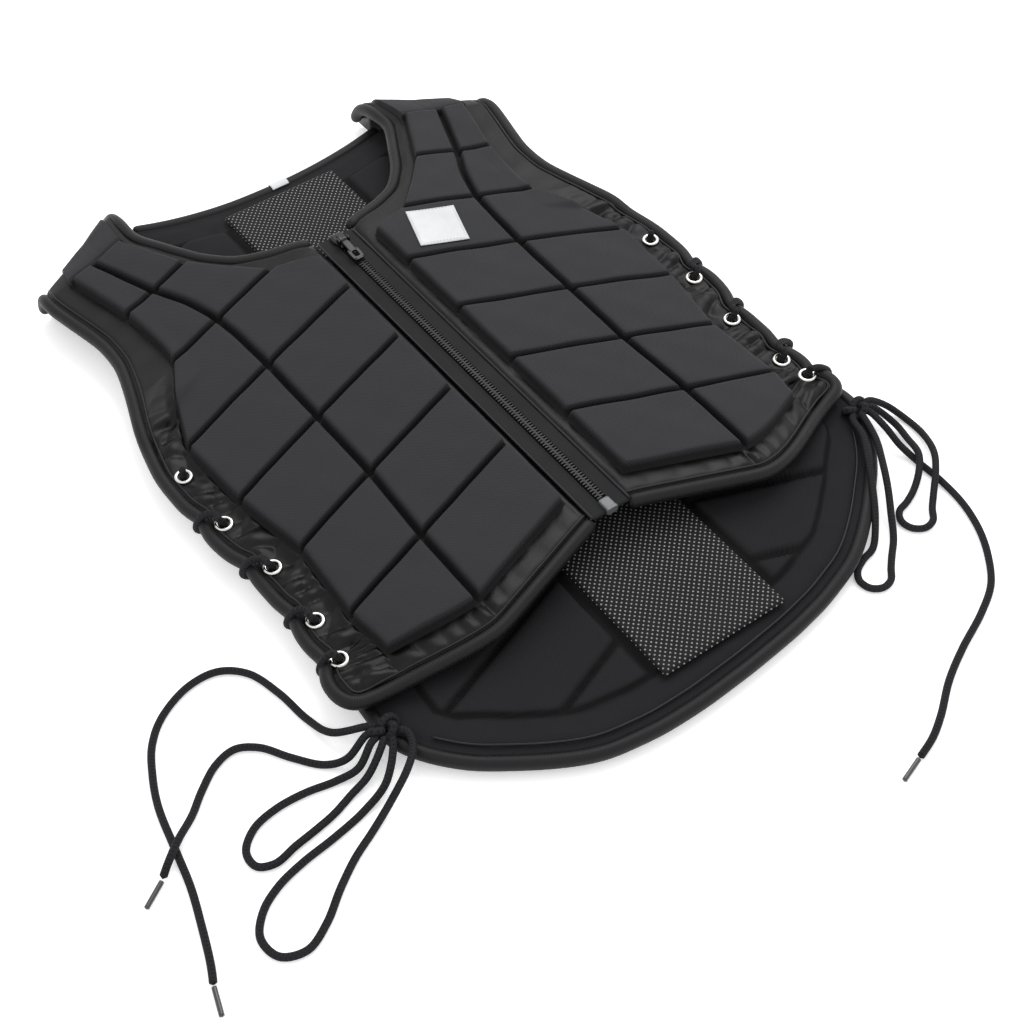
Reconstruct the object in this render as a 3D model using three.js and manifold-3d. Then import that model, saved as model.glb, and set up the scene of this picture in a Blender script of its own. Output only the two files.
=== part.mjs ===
// A padded riding body protector lying on its back, front side up.
// Units are millimetres: +X toward the wearer's left, +Y toward the neck, +Z up.
import * as THREE from 'three';
import { mergeVertices } from 'three/addons/utils/BufferGeometryUtils.js';
import Module from 'manifold-3d';

const wasm = await Module();
wasm.setup();

// Driving sizes of the padded body
const frontHalfWidth = 217; // from the zip's middle to the side edge at its widest
const backHalfWidth = 209; // from the back's middle to the side edge at its widest
const rowPitch = 65; // from one row of pads to the next, along the zip
const rowSlope = 0.31; // how far a row falls toward the hem for each millimetre outward
const firstRowY = 178.5; // where the first whole row meets the zip
const hemBelowRow = 18; // from the last row of pads to the hem
const foldInnerY = 322; // shoulder fold beside the neck
const foldOuterY = 268; // shoulder fold beside the arm
const neckReach = 109; // how far the neckline runs outward from the zip tape
const padRise = 9; // height of a foam block over its grooves
const backThickness = 18;
const frontSkin = 9; // thickness of the front below the grooves
const flapThickness = 6; // thin side edge that carries the eyelets
const flapLift = 20; // underside of the front's side edge
const backFlapLift = 7; // underside of the back's side edge
const backFlapThickness = 5; // thin edge of the back
const armholeHeight = 6.5; // gap between front and back at the arm
const ridgeZ = 57; // top of the foam blocks beside the zip
const frontShift = -8; // the front lies this far from the back's middle
const tailDepth = 302; // from the origin row to the lowest point of the tail
const tailSkew = 20; // the tail hangs this much lower at one corner and higher at the other
const cornerLift = { right: 12, left: 36 }; // how far each front corner is turned up
const tailCornerY = -195; // where the side turns into the tail
const backNeckY = 280; // back of the neckline
const neckCurve = 2.2; // power that bends the back of the neckline
const shoulderSetback = 0.29; // rows between the shoulder fold and the back's upper end
const flapStartRow = 1; // the front's side edge thins out from this row on
const flapBlendRows = 0.5;
const foldStep = 0.12; // rows between the lines of the shoulder fold
const foldSink = 4; // how far the front sinks on its way to the fold
const foldDrop = 10; // drop of the front's end over the fold
const foldFoot = 3; // height of the front's end over the ground
const cornerRows = 1.4; // rows over which a front corner turns up

// Driving sizes of the trim
const gap = 0.3; // running gap between pieces
const seatGap = 0.5; // gap between a rolled edge and the cloth that it borders
const bindingRadius = 4.2;
const bindingSides = 6;
const eyeletInset = 9; // from an edge to its eyelets
const eyeletCount = 5;
const eyeletFirstRow = 2.18;
const eyeletRowStep = 0.83;
const eyeletBore = 3.9;
const eyeletBarrel = 4.6;
const eyeletFlange = 6.6;
const eyeletFlangeHeight = 0.7;
const eyeletSides = 8;
const eyeletHoleLength = 36;
const meshHalfWidth = 50;
const meshThickness = 1.5;
const meshBottomY = -284;
const meshTopY = 268;
const laceRadius = 2.5;
const laceStep = 14;
const sideLaceRadius = 1.7; // drawn tight round the edges
const sideLaceStep = 7.5;
const laceSides = 8;
const knotLength = 24;
const knotWidth = 15;
const knotHeight = 11;
const knotZ = 18.3;
const knotPlaces = { right: [-212, -212], left: [205, -184] };
const agletRadius = 2.3;
const agletLength = 20;

// Driving sizes of the zip
const teethWidth = 7;
const teethHeight = 3.2;
const tapeWidth = 11;
const tapeThickness = 1.4;
const zipBottomY = -164;
const stopLength = 14;
const stopWidth = 9;
const stopHeight = 6;
const sliderLength = 17;
const sliderWidth = 11;
const sliderPlate = 3;
const sliderTopY = 166;
const earThickness = 1.6;
const earRise = 4.4;
const pullLength = 24;
const pullWidth = 6;
const pullThickness = 1.8;
const pullKnuckle = 1.7;
const knuckleClear = 2; // from the slider's lower end to its ears
const earOverhang = 0.5; // how far the ears reach past the knuckle
const earRoot = 1; // depth of the ears' foot in the plate
const paddleWiden = 1.5; // the pull's paddle over its stem
const pullTilt = 6; // degrees below level, toward the hem

// Driving sizes of the labels
const labelWidth = 38;
const labelHeight = 43;
const labelThickness = 0.8;
const labelTilt = 6; // degrees that it leans outward
const labelTurn = -18; // degrees that it is turned on the block
const labelX = 66;
const labelY = 124;
const neckLabelX = 9;
const neckLabelWidth = 15;
const neckLabelHeight = 6;

const zipEdge = teethWidth / 2 + gap + tapeWidth + gap;
const tapeZ = ridgeZ - padRise - tapeThickness; // underside of the tapes
const tapeTopZ = tapeZ + tapeThickness;
const lastRow = 6;
const foldRow = -1.65;
const armholeRow = 1.5;
const hemRow = lastRow + hemBelowRow / rowPitch;

const colours = {
  shell: { color: 0x2c2c30, roughness: 0.85, metalness: 0 },
  binding: { color: 0x1f1f22, roughness: 0.7, metalness: 0 },
  mesh: { color: 0x3b3b40, roughness: 0.9, metalness: 0 },
  zip: { color: 0x141416, roughness: 0.4, metalness: 0 },
  zipMetal: { color: 0x18181a, roughness: 0.35, metalness: 0.4 },
  stop: { color: 0x77787c, roughness: 0.3, metalness: 0.5 },
  eyelet: { color: 0xc9cacc, roughness: 0.2, metalness: 1 },
  lace: { color: 0x3a3a3f, roughness: 0.9, metalness: 0 },
  aglet: { color: 0x9a9ba0, roughness: 0.35, metalness: 0.3 },
  label: { color: 0xf2f2f0, roughness: 0.8, metalness: 0 },
};

// Columns of a front half by row: neckline and inner pad edge as shares of the neck's reach,
// groove, outer pad edge and side edge as shares of the front's half width
const frontRows = [
  { row: -1.65, neck: 0.96, padIn: 1.02, groove: 0.7, padOut: 0.811, side: 0.905 },
  { row: -1, neck: 0.98, padIn: 1.05, groove: 0.732, padOut: 0.834, side: 0.918 },
  { row: 0, neck: 0.71, padIn: 0.8, groove: 0.632, padOut: 0.765, side: 0.855 },
  { row: 0.45, neck: 0.53, padIn: 0.62, groove: 0.575, padOut: 0.748, side: 0.855 },
  { row: 0.8, neck: 0.26, padIn: 0.47, groove: 0.545, padOut: 0.74, side: 0.885 },
  { row: 1, neck: 0.03, padIn: 0.38, groove: 0.53, padOut: 0.747, side: 0.905 },
  { row: 1.4, neck: 0, padIn: 0.02, groove: 0.518, padOut: 0.82, side: 0.95 },
  { row: 2, neck: 0, padIn: 0.02, groove: 0.507, padOut: 0.89, side: 0.985 },
  { row: 3, neck: 0, padIn: 0.02, groove: 0.502, padOut: 0.87, side: 0.98 },
  { row: 4, neck: 0, padIn: 0.02, groove: 0.498, padOut: 0.82, side: 0.942 },
  { row: 5, neck: 0, padIn: 0.02, groove: 0.512, padOut: 0.834, side: 0.956 },
  { row: 6, neck: 0, padIn: 0.02, groove: 0.512, padOut: 0.816, side: 0.985 },
  { row: 6.4, neck: 0, padIn: 0.02, groove: 0.512, padOut: 0.816, side: 0.98 },
];

// Height of the foam block tops over the front's width, as shares of half width and ridge height
const frontCrown = [
  { across: 0, up: 1 },
  { across: 0.1, up: 1 },
  { across: 0.5, up: 0.84 },
  { across: 0.7, up: 0.74 },
  { across: 0.85, up: 0.64 },
  { across: 1, up: 0.6 },
];

// Side of the back from the tail's corner up to the shoulder, as shares of that length and width
const backSide = [
  { along: 0, across: 1 },
  { along: 0.13, across: 0.985 },
  { along: 0.27, across: 0.96 },
  { along: 0.42, across: 0.985 },
  { along: 0.52, across: 1 },
  { along: 0.65, across: 0.945 },
  { along: 0.76, across: 0.88 },
  { along: 0.86, across: 0.86 },
  { along: 0.94, across: 0.9 },
  { along: 1, across: 0.935 },
];

// Lower edge of the tail, as shares of half width and of the drop from corner to tip
const tailEdge = [
  { across: 0, down: 1 },
  { across: 0.2, down: 0.99 },
  { across: 0.35, down: 0.96 },
  { across: 0.52, down: 0.88 },
  { across: 0.6, down: 0.8 },
  { across: 0.7, down: 0.67 },
  { across: 0.86, down: 0.42 },
  { across: 0.95, down: 0.2 },
  { across: 1, down: 0 },
];

function lookUp(table, key, value, at) {
  const last = table.length - 1;
  const clamped = THREE.MathUtils.clamp(at, table[0][key], table[last][key]);
  let i = 0;
  while (i < last - 1 && table[i + 1][key] < clamped) i += 1;
  const span = table[i + 1][key] - table[i][key];
  return THREE.MathUtils.lerp(table[i][value], table[i + 1][value], (clamped - table[i][key]) / span);
}

// Closed solid between two grids of points of the same size, given as rows of points
function solidBetween(top, bottom) {
  const rows = top.length;
  const cols = top[0].length;
  const points = [...top.flat(), ...bottom.flat()];
  const positions = points.flatMap((p) => [p.x, p.y, p.z]);
  const under = rows * cols;
  const index = [];
  const quad = (a, b, c, d) => index.push(a, b, c, a, c, d);
  for (let r = 0; r < rows - 1; r += 1) {
    for (let c = 0; c < cols - 1; c += 1) {
      const i = r * cols + c;
      quad(i, i + 1, i + cols + 1, i + cols);
      quad(under + i, under + i + cols, under + i + cols + 1, under + i + 1);
    }
  }
  const wall = (a, b) => quad(b, a, under + a, under + b);
  for (let c = 0; c < cols - 1; c += 1) {
    wall(c, c + 1);
    wall((rows - 1) * cols + c + 1, (rows - 1) * cols + c);
  }
  for (let r = 0; r < rows - 1; r += 1) {
    wall((r + 1) * cols, r * cols);
    wall(r * cols + cols - 1, (r + 1) * cols + cols - 1);
  }
  const geometry = new THREE.BufferGeometry();
  geometry.setAttribute('position', new THREE.Float32BufferAttribute(positions, 3));
  geometry.setIndex(index);
  return geometry;
}

function flipFaces(geometry) {
  const index = geometry.index.array;
  for (let i = 0; i < index.length; i += 3) {
    const kept = index[i];
    index[i] = index[i + 1];
    index[i + 1] = kept;
  }
  return geometry;
}

function toManifold(geometry) {
  const bare = geometry.clone();
  bare.deleteAttribute('normal');
  bare.deleteAttribute('uv');
  const merged = mergeVertices(bare, 1e-4);
  return new wasm.Manifold(new wasm.Mesh({
    numProp: 3,
    vertProperties: new Float32Array(merged.attributes.position.array),
    triVerts: new Uint32Array(merged.index.array),
  }));
}

function fromManifold(solid) {
  const mesh = solid.getMesh();
  const geometry = new THREE.BufferGeometry();
  geometry.setAttribute('position', new THREE.BufferAttribute(mesh.vertProperties, 3));
  geometry.setIndex(new THREE.BufferAttribute(mesh.triVerts, 1));
  return geometry;
}

function drill(geometry, places) {
  let solid = toManifold(geometry);
  for (const place of places) {
    const holeRadius = eyeletBarrel + 2 * gap;
    const hole = new THREE.CylinderGeometry(holeRadius, holeRadius, eyeletHoleLength, eyeletSides);
    hole.rotateX(Math.PI / 2);
    hole.translate(place.x, place.y, place.z);
    solid = solid.subtract(toManifold(hole));
  }
  return fromManifold(solid);
}

function roundSection(radius, sides) {
  const shape = new THREE.Shape();
  for (let i = 0; i < sides; i += 1) {
    const angle = (i + 0.5) * 2 * Math.PI / sides;
    const x = radius * Math.cos(angle);
    const y = radius * Math.sin(angle);
    if (i === 0) shape.moveTo(x, y);
    else shape.lineTo(x, y);
  }
  shape.closePath();
  return shape;
}

function tubeAlong(points, radius, sides, step) {
  const path = new THREE.CatmullRomCurve3(points, false, 'centripetal');
  const steps = Math.max(2, Math.round(path.getLength() / step));
  return new THREE.ExtrudeGeometry(roundSection(radius, sides), { steps, extrudePath: path });
}

// Round bar whose rings stand on the given points, so it stays parallel to a faceted edge
function barThrough(points, radius, barSides) {
  const up = new THREE.Vector3(0, 0, 1);
  const positions = [];
  points.forEach((point, i) => {
    const before = points[Math.max(i - 1, 0)];
    const after = points[Math.min(i + 1, points.length - 1)];
    const along = after.clone().sub(before).normalize();
    const across = along.clone().cross(up).normalize();
    const above = across.clone().cross(along);
    for (let k = 0; k < barSides; k += 1) {
      const angle = k * 2 * Math.PI / barSides;
      const rim = point.clone();
      rim.addScaledVector(across, radius * Math.cos(angle));
      rim.addScaledVector(above, radius * Math.sin(angle));
      positions.push(rim.x, rim.y, rim.z);
    }
  });
  const index = [];
  const lastRing = (points.length - 1) * barSides;
  for (let i = 0; i < points.length - 1; i += 1) {
    for (let k = 0; k < barSides; k += 1) {
      const a = i * barSides + k;
      const b = i * barSides + (k + 1) % barSides;
      index.push(a, b + barSides, b, a, a + barSides, b + barSides);
    }
  }
  for (let k = 1; k < barSides - 1; k += 1) {
    index.push(0, k, k + 1, lastRing, lastRing + k + 1, lastRing + k);
  }
  const geometry = new THREE.BufferGeometry();
  geometry.setAttribute('position', new THREE.Float32BufferAttribute(positions, 3));
  geometry.setIndex(index);
  return geometry;
}

const vest = new THREE.Group();

function addMesh(name, geometry, colour, parent = vest) {
  const mesh = new THREE.Mesh(geometry, new THREE.MeshStandardMaterial(colours[colour]));
  mesh.name = name;
  parent.add(mesh);
  return mesh;
}

// Front halves

function foldY(x) {
  const inner = zipEdge + neckReach;
  const outer = frontHalfWidth * lookUp(frontRows, 'row', 'side', foldRow);
  return THREE.MathUtils.mapLinear(x, inner, outer, foldInnerY, foldOuterY);
}

function rowLineY(row, x, lift = 0) {
  const grooveX = frontHalfWidth * lookUp(frontRows, 'row', 'groove', row);
  const outerSlope = rowSlope * (1 - THREE.MathUtils.smoothstep(row, lastRow - 1, lastRow));
  const inner = Math.min(x, grooveX) * rowSlope;
  const outer = Math.max(0, x - grooveX) * outerSlope;
  const plain = firstRowY - rowPitch * (row - 1) - inner - outer;
  const cornerShare = THREE.MathUtils.smoothstep(row, lastRow - cornerRows, hemRow)
    * THREE.MathUtils.smoothstep(x, grooveX, frontHalfWidth);
  if (row >= -1) return plain + lift * cornerShare;
  const top = firstRowY + rowPitch * 2 - rowSlope * x;
  return THREE.MathUtils.lerp(top, foldY(x), (-1 - row) / (-1 - foldRow));
}

function crownZ(x) {
  return ridgeZ * lookUp(frontCrown, 'across', 'up', x / frontHalfWidth);
}

function mirrored(point, side, shift) {
  return new THREE.Vector3(side * point.x + shift, point.y, point.z);
}

// Columns of the front's grid: where each one lies between two named edges, and whether it is
// on a foam block, in a groove or on the thin side edge
const frontColumns = [
  { from: 'neck', to: 'padIn', share: 0, kind: 'groove' },
  { from: 'neck', to: 'padIn', share: 1, kind: 'groove' },
  { from: 'padIn', to: 'groove', share: 0.05, kind: 'pad' },
  { from: 'padIn', to: 'groove', share: 0.5, kind: 'pad' },
  { from: 'padIn', to: 'groove', share: 0.94, kind: 'pad' },
  { from: 'padIn', to: 'groove', share: 1, kind: 'groove' },
  { from: 'groove', to: 'padOut', share: 0.08, kind: 'pad' },
  { from: 'groove', to: 'padOut', share: 0.93, kind: 'pad' },
  { from: 'groove', to: 'padOut', share: 1, kind: 'groove' },
  { from: 'padOut', to: 'side', share: 0.1, kind: 'flap' },
  { from: 'padOut', to: 'side', share: 1, kind: 'flap' },
];

const padShares = [0, 0.08, 0.5, 0.92];

function frontRowList() {
  const list = [foldRow, foldRow + foldStep, foldRow + 2 * foldStep];
  for (let row = -1; row < lastRow; row += 1) {
    for (const share of padShares) list.push(row + share);
  }
  return [...list, lastRow, hemRow];
}

function edgeX(edge, row) {
  const share = lookUp(frontRows, 'row', edge, row);
  return edge === 'neck' || edge === 'padIn' ? zipEdge + neckReach * share : frontHalfWidth * share;
}

function frontPoint(column, row, isTop, lift) {
  const x = THREE.MathUtils.lerp(edgeX(column.from, row), edgeX(column.to, row), column.share);
  const y = rowLineY(row, x, lift);
  const grooveLine = Math.abs(row - Math.round(row)) < 0.02 || row > lastRow || row < -1;
  const onPad = column.kind === 'pad' && !grooveLine;
  const atFold = THREE.MathUtils.smoothstep(-1 - row, 0, -1 - foldRow);
  let top = crownZ(x) - (onPad ? 0 : padRise) - atFold * foldSink;
  let bottom = crownZ(x) - padRise - frontSkin;
  if (column.kind === 'flap' && row > flapStartRow) {
    const thin = THREE.MathUtils.clamp((row - flapStartRow) / flapBlendRows, 0, 1);
    top = THREE.MathUtils.lerp(top, flapLift + flapThickness, thin);
    bottom = THREE.MathUtils.lerp(bottom, flapLift, thin);
  }
  const floor = row < armholeRow ? backThickness + armholeHeight : backThickness + 2 * gap;
  const raised = Math.max(bottom, column.kind === 'flap' && row >= armholeRow ? flapLift : floor);
  top += raised - bottom;
  bottom = raised;
  if (row < foldRow + 1.5 * foldStep) bottom = foldFoot;
  if (row < foldRow + 0.5 * foldStep) top -= foldDrop;
  return new THREE.Vector3(x, y, isTop ? top : bottom);
}

function frontGrid(isTop, side) {
  const lift = side > 0 ? cornerLift.left : cornerLift.right;
  return frontRowList().map((row) => (
    frontColumns.map((column) => mirrored(frontPoint(column, row, isTop, lift), side, frontShift))));
}

function frontEyelets(side) {
  const lift = side > 0 ? cornerLift.left : cornerLift.right;
  const places = [];
  for (let i = 0; i < eyeletCount; i += 1) {
    const row = eyeletFirstRow + eyeletRowStep * i;
    const x = edgeX('side', row) - eyeletInset;
    const place = new THREE.Vector3(x, rowLineY(row, x, lift), flapLift + flapThickness / 2);
    places.push(mirrored(place, side, frontShift));
  }
  return places;
}

function frontHalf(side) {
  const geometry = solidBetween(frontGrid(true, side), frontGrid(false, side));
  if (side > 0) flipFaces(geometry);
  return drill(geometry, frontEyelets(side));
}

const sides = [[-1, 'right'], [1, 'left']];
for (const [side, name] of sides) addMesh(`front_panel_${name}`, frontHalf(side), 'shell');

// Back, with a flat underside that carries the whole piece

const neckCorner = zipEdge + neckReach * lookUp(frontRows, 'row', 'neck', foldRow);
const backEndRow = foldRow + shoulderSetback;
const shoulderCorner = backHalfWidth * lookUp(backSide, 'along', 'across', 1);

function shoulderEndY(x) {
  return rowLineY(backEndRow, Math.abs(x - frontShift));
}

function backTopY(x) {
  if (Math.abs(x) >= neckCorner) return shoulderEndY(x);
  const share = (Math.abs(x) / neckCorner) ** neckCurve;
  return THREE.MathUtils.lerp(backNeckY, shoulderEndY(Math.sign(x) * neckCorner), share);
}

function backBottomY(x) {
  const down = lookUp(tailEdge, 'across', 'down', Math.abs(x) / backHalfWidth);
  return tailCornerY - (tailDepth + tailCornerY) * down + tailSkew * x / backHalfWidth;
}

// Columns and rows of the back's grid, and whether each one is on its thin edge
const backColumns = [
  { across: -1, thin: true },
  { across: -0.91, thin: true },
  { across: -0.88, thin: false },
  { across: -neckCorner / shoulderCorner, thin: false },
  { across: -0.3, thin: false },
  { across: 0, thin: false },
  { across: 0.3, thin: false },
  { across: neckCorner / shoulderCorner, thin: false },
  { across: 0.88, thin: false },
  { across: 0.91, thin: true },
  { across: 1, thin: true },
];
const backRows = [
  { along: 0, thin: true },
  { along: 0.03, thin: false },
  { along: 0.13, thin: false },
  { along: 0.27, thin: false },
  { along: 0.42, thin: false },
  { along: 0.52, thin: false },
  { along: 0.65, thin: false },
  { along: 0.76, thin: false },
  { along: 0.86, thin: false },
  { along: 0.94, thin: false },
  { along: 0.985, thin: false },
  { along: 1, thin: true },
];

function backPoint(column, row, isTop) {
  const x = column.across * backHalfWidth * lookUp(backSide, 'along', 'across', row.along);
  const y = THREE.MathUtils.lerp(backBottomY(x), backTopY(x), row.along);
  const thin = column.thin || row.thin;
  const top = thin ? backFlapLift + backFlapThickness : backThickness;
  return new THREE.Vector3(x, y, isTop ? top : Number(thin) * backFlapLift);
}

function backGrid(isTop) {
  return backRows.map((row) => backColumns.map((column) => backPoint(column, row, isTop)));
}

function backEdgeX(y) {
  const along = (y - tailCornerY) / (shoulderEndY(shoulderCorner) - tailCornerY);
  return backHalfWidth * lookUp(backSide, 'along', 'across', along);
}

function backEyelets(side) {
  return frontEyelets(side).map((place) => {
    const y = place.y - rowPitch * eyeletRowStep / 2;
    const z = backFlapLift + backFlapThickness / 2;
    return new THREE.Vector3(side * (backEdgeX(y) - eyeletInset), y, z);
  });
}

function backPanel() {
  const geometry = solidBetween(backGrid(true), backGrid(false));
  return drill(geometry, [...backEyelets(-1), ...backEyelets(1)]);
}

addMesh('back_panel', backPanel(), 'shell');

const spineLength = meshTopY - meshBottomY;
const spine = addMesh('spine_mesh', new THREE.BoxGeometry(2 * meshHalfWidth, spineLength, meshThickness),
  'mesh');
spine.position.set(0, (meshTopY + meshBottomY) / 2, backThickness + gap + meshThickness / 2);

// Zip, from the neckline down to the hem

function box(sizeX, sizeY, sizeZ, x, y, z) {
  const geometry = new THREE.BoxGeometry(sizeX, sizeY, sizeZ);
  geometry.translate(x, y, z + sizeZ / 2);
  return geometry;
}

function join(geometries) {
  return fromManifold(geometries.map(toManifold).reduce((a, b) => a.add(b)));
}

const zip = new THREE.Group();
zip.position.set(frontShift, 0, tapeTopZ);
vest.add(zip);

const teethTopY = sliderTopY - sliderLength - gap;
for (const [side, name] of sides) {
  const length = sliderTopY - zipBottomY;
  const x = side * (teethWidth / 2 + gap + tapeWidth / 2);
  const tape = box(tapeWidth, length, tapeThickness, x, zipBottomY + length / 2, -tapeThickness);
  addMesh(`zip_tape_${name}`, tape, 'binding', zip);
}
const teethLength = teethTopY - zipBottomY;
const teeth = box(teethWidth, teethLength, teethHeight, 0, zipBottomY + teethLength / 2, -teethHeight / 2);
addMesh('zip_teeth', teeth, 'zip', zip);
const stop = box(stopWidth, stopLength, stopHeight, 0, zipBottomY - gap - stopLength / 2, -stopHeight / 2);
addMesh('zip_bottom_stop', stop, 'stop', zip);

const plateTop = gap + sliderPlate;
const axisY = teethTopY + gap + pullKnuckle + knuckleClear;
const axisZ = plateTop + earRise - pullKnuckle;
const sliderBody = [
  box(sliderWidth, sliderLength, sliderPlate, 0, sliderTopY - sliderLength / 2, gap),
  box(teethWidth, sliderLength, teethHeight, 0, sliderTopY - sliderLength / 2, -teethHeight / 2),
];
for (const side of [-1, 1]) {
  const x = side * (pullWidth / 2 + gap + earThickness / 2);
  const earLength = 2 * (pullKnuckle + earOverhang);
  sliderBody.push(box(earThickness, earLength, earRise + earRoot, x, axisY, plateTop - earRoot));
}
addMesh('zip_slider', join(sliderBody), 'zipMetal', zip);

// The pull lies toward the hem and turns on its knuckle
function pullGeometry() {
  const knuckle = new THREE.CylinderGeometry(pullKnuckle, pullKnuckle, pullWidth, 10);
  knuckle.rotateZ(Math.PI / 2);
  const tab = box(pullWidth, pullLength, pullThickness, 0, -pullLength / 2, -pullThickness / 2);
  const paddleLength = pullLength / 2;
  const paddleY = paddleLength / 2 - pullLength;
  const paddle = box(pullWidth * paddleWiden, paddleLength, pullThickness, 0, paddleY, -pullThickness / 2);
  return join([knuckle, tab, paddle]);
}
const pull = addMesh('zip_pull', pullGeometry(), 'zipMetal', zip);
pull.position.set(0, axisY, axisZ);
pull.rotation.x = THREE.MathUtils.degToRad(pullTilt);

// Rolled edges

const edgeOffset = bindingRadius + seatGap;

// Points of a rim, moved outward in plan and set at mid thickness
function rimPath(tops, bottoms, outward) {
  const mids = tops.map((top, i) => top.clone().lerp(bottoms[i], 0.5));
  return mids.map((mid, i) => {
    const before = mids[Math.max(i - 1, 0)];
    const after = mids[Math.min(i + 1, mids.length - 1)];
    const along = after.clone().sub(before).setZ(0).normalize();
    const out = new THREE.Vector3(along.y, -along.x, 0).multiplyScalar(outward * edgeOffset);
    return mid.clone().add(out);
  });
}

// The point where two rims meet, moved outward from both
function cornerPoint(first, second, top, bottom) {
  const mid = top.clone().lerp(bottom, 0.5);
  return first.clone().add(second).sub(mid);
}

function binding(name, points) {
  addMesh(name, barThrough(points, bindingRadius, bindingSides), 'binding');
}

function frontRim(side) {
  const top = frontGrid(true, side);
  const bottom = frontGrid(false, side);
  const rows = frontRowList();
  const lastColumn = frontColumns.length - 1;
  const neckRows = rows.map((row, i) => i).filter((i) => rows[i] > foldRow + 1.5 * foldStep && rows[i] < 1);
  const sideRows = rows.map((row, i) => i).filter((i) => rows[i] > foldRow + 1.5 * foldStep);
  const hem = rows.length - 1;
  const hemColumns = frontColumns.map((column, i) => lastColumn - i);
  return {
    neck: rimPath(neckRows.map((i) => top[i][0]), neckRows.map((i) => bottom[i][0]), side),
    side: rimPath(sideRows.map((i) => top[i][lastColumn]), sideRows.map((i) => bottom[i][lastColumn]), -side),
    hem: rimPath(hemColumns.map((i) => top[hem][i]), hemColumns.map((i) => bottom[hem][i]), -side),
    cornerTop: top[hem][lastColumn],
    cornerBottom: bottom[hem][lastColumn],
  };
}

for (const [side, name] of sides) {
  const rim = frontRim(side);
  binding(`neck_binding_${name}`, rim.neck);
  const corner = cornerPoint(rim.side.pop(), rim.hem.shift(), rim.cornerTop, rim.cornerBottom);
  binding(`front_binding_${name}`, [...rim.side, corner, ...rim.hem.slice(0, -1)]);
}

function backRim() {
  const top = backGrid(true);
  const bottom = backGrid(false);
  const last = backColumns.length - 1;
  const rising = backRows.map((row, i) => i);
  const falling = rising.slice().reverse();
  const across = backColumns.map((column, i) => i);
  const neckColumns = across.filter((i) => Math.abs(backColumns[i].across) <= neckCorner / shoulderCorner);
  const leftSide = rimPath(rising.map((i) => top[i][last]), rising.map((i) => bottom[i][last]), 1);
  const rightSide = rimPath(falling.map((i) => top[i][0]), falling.map((i) => bottom[i][0]), 1);
  const tail = rimPath(across.map((i) => top[0][i]), across.map((i) => bottom[0][i]), 1);
  const neck = rimPath(
    neckColumns.map((i) => top[top.length - 1][i]), neckColumns.map((i) => bottom[top.length - 1][i]), -1);
  const rightCorner = cornerPoint(rightSide.pop(), tail.shift(), top[0][0], bottom[0][0]);
  const leftCorner = cornerPoint(leftSide.shift(), tail.pop(), top[0][last], bottom[0][last]);
  return { outline: [...rightSide, rightCorner, ...tail, leftCorner, ...leftSide], neck };
}
const rimOfBack = backRim();
binding('back_binding', rimOfBack.outline);
binding('neck_binding_back', rimOfBack.neck);

// Eyelets: a barrel through the thin edge, with its flange on the outside face

function eyelet(name, place, facing) {
  const half = (facing > 0 ? flapThickness : backFlapThickness) / 2;
  const profile = [
    [eyeletBore, -half],
    [eyeletBarrel, -half],
    [eyeletBarrel, half + gap],
    [eyeletFlange, half + gap],
    [eyeletFlange - gap, half + gap + eyeletFlangeHeight],
    [eyeletBore, half + gap + eyeletFlangeHeight],
    [eyeletBore, -half],
  ].map(([radius, height]) => new THREE.Vector2(radius, height));
  const geometry = new THREE.LatheGeometry(profile, eyeletSides);
  geometry.rotateX(facing * Math.PI / 2);
  addMesh(name, geometry, 'eyelet').position.copy(place);
}

for (const [side, name] of sides) {
  frontEyelets(side).forEach((place, i) => eyelet(`eyelet_front_${name}_${i + 1}`, place, 1));
  backEyelets(side).forEach((place, i) => eyelet(`eyelet_back_${name}_${i + 1}`, place, -1));
}

// Labels

const label = addMesh('chest_label', new THREE.BoxGeometry(labelWidth, labelHeight, labelThickness), 'label');
label.position.set(labelX + frontShift, labelY, crownZ(labelX) + 2 * gap + labelThickness / 2);
label.rotation.set(0, THREE.MathUtils.degToRad(labelTilt), THREE.MathUtils.degToRad(labelTurn), 'YXZ');
const neckLabel = new THREE.BoxGeometry(neckLabelWidth, neckLabelHeight, labelThickness);
const neckLabelZ = backFlapLift + flapThickness / 2 + bindingRadius + labelThickness / 2 - gap;
addMesh('neck_label', neckLabel, 'label').position.set(neckLabelX, backNeckY + edgeOffset, neckLabelZ);

// Laces down both sides: through each front eyelet, then each back one, and round both edges

const laceClear = laceRadius + 3 * gap;

// Where a side lace bends on its way from a back eyelet to the next front one, as shares of that way
const laceBends = { leave: 0.02, turn: 0.06, under: 0.3, out: 0.5, over: 0.75, land: 0.88 };

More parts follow.
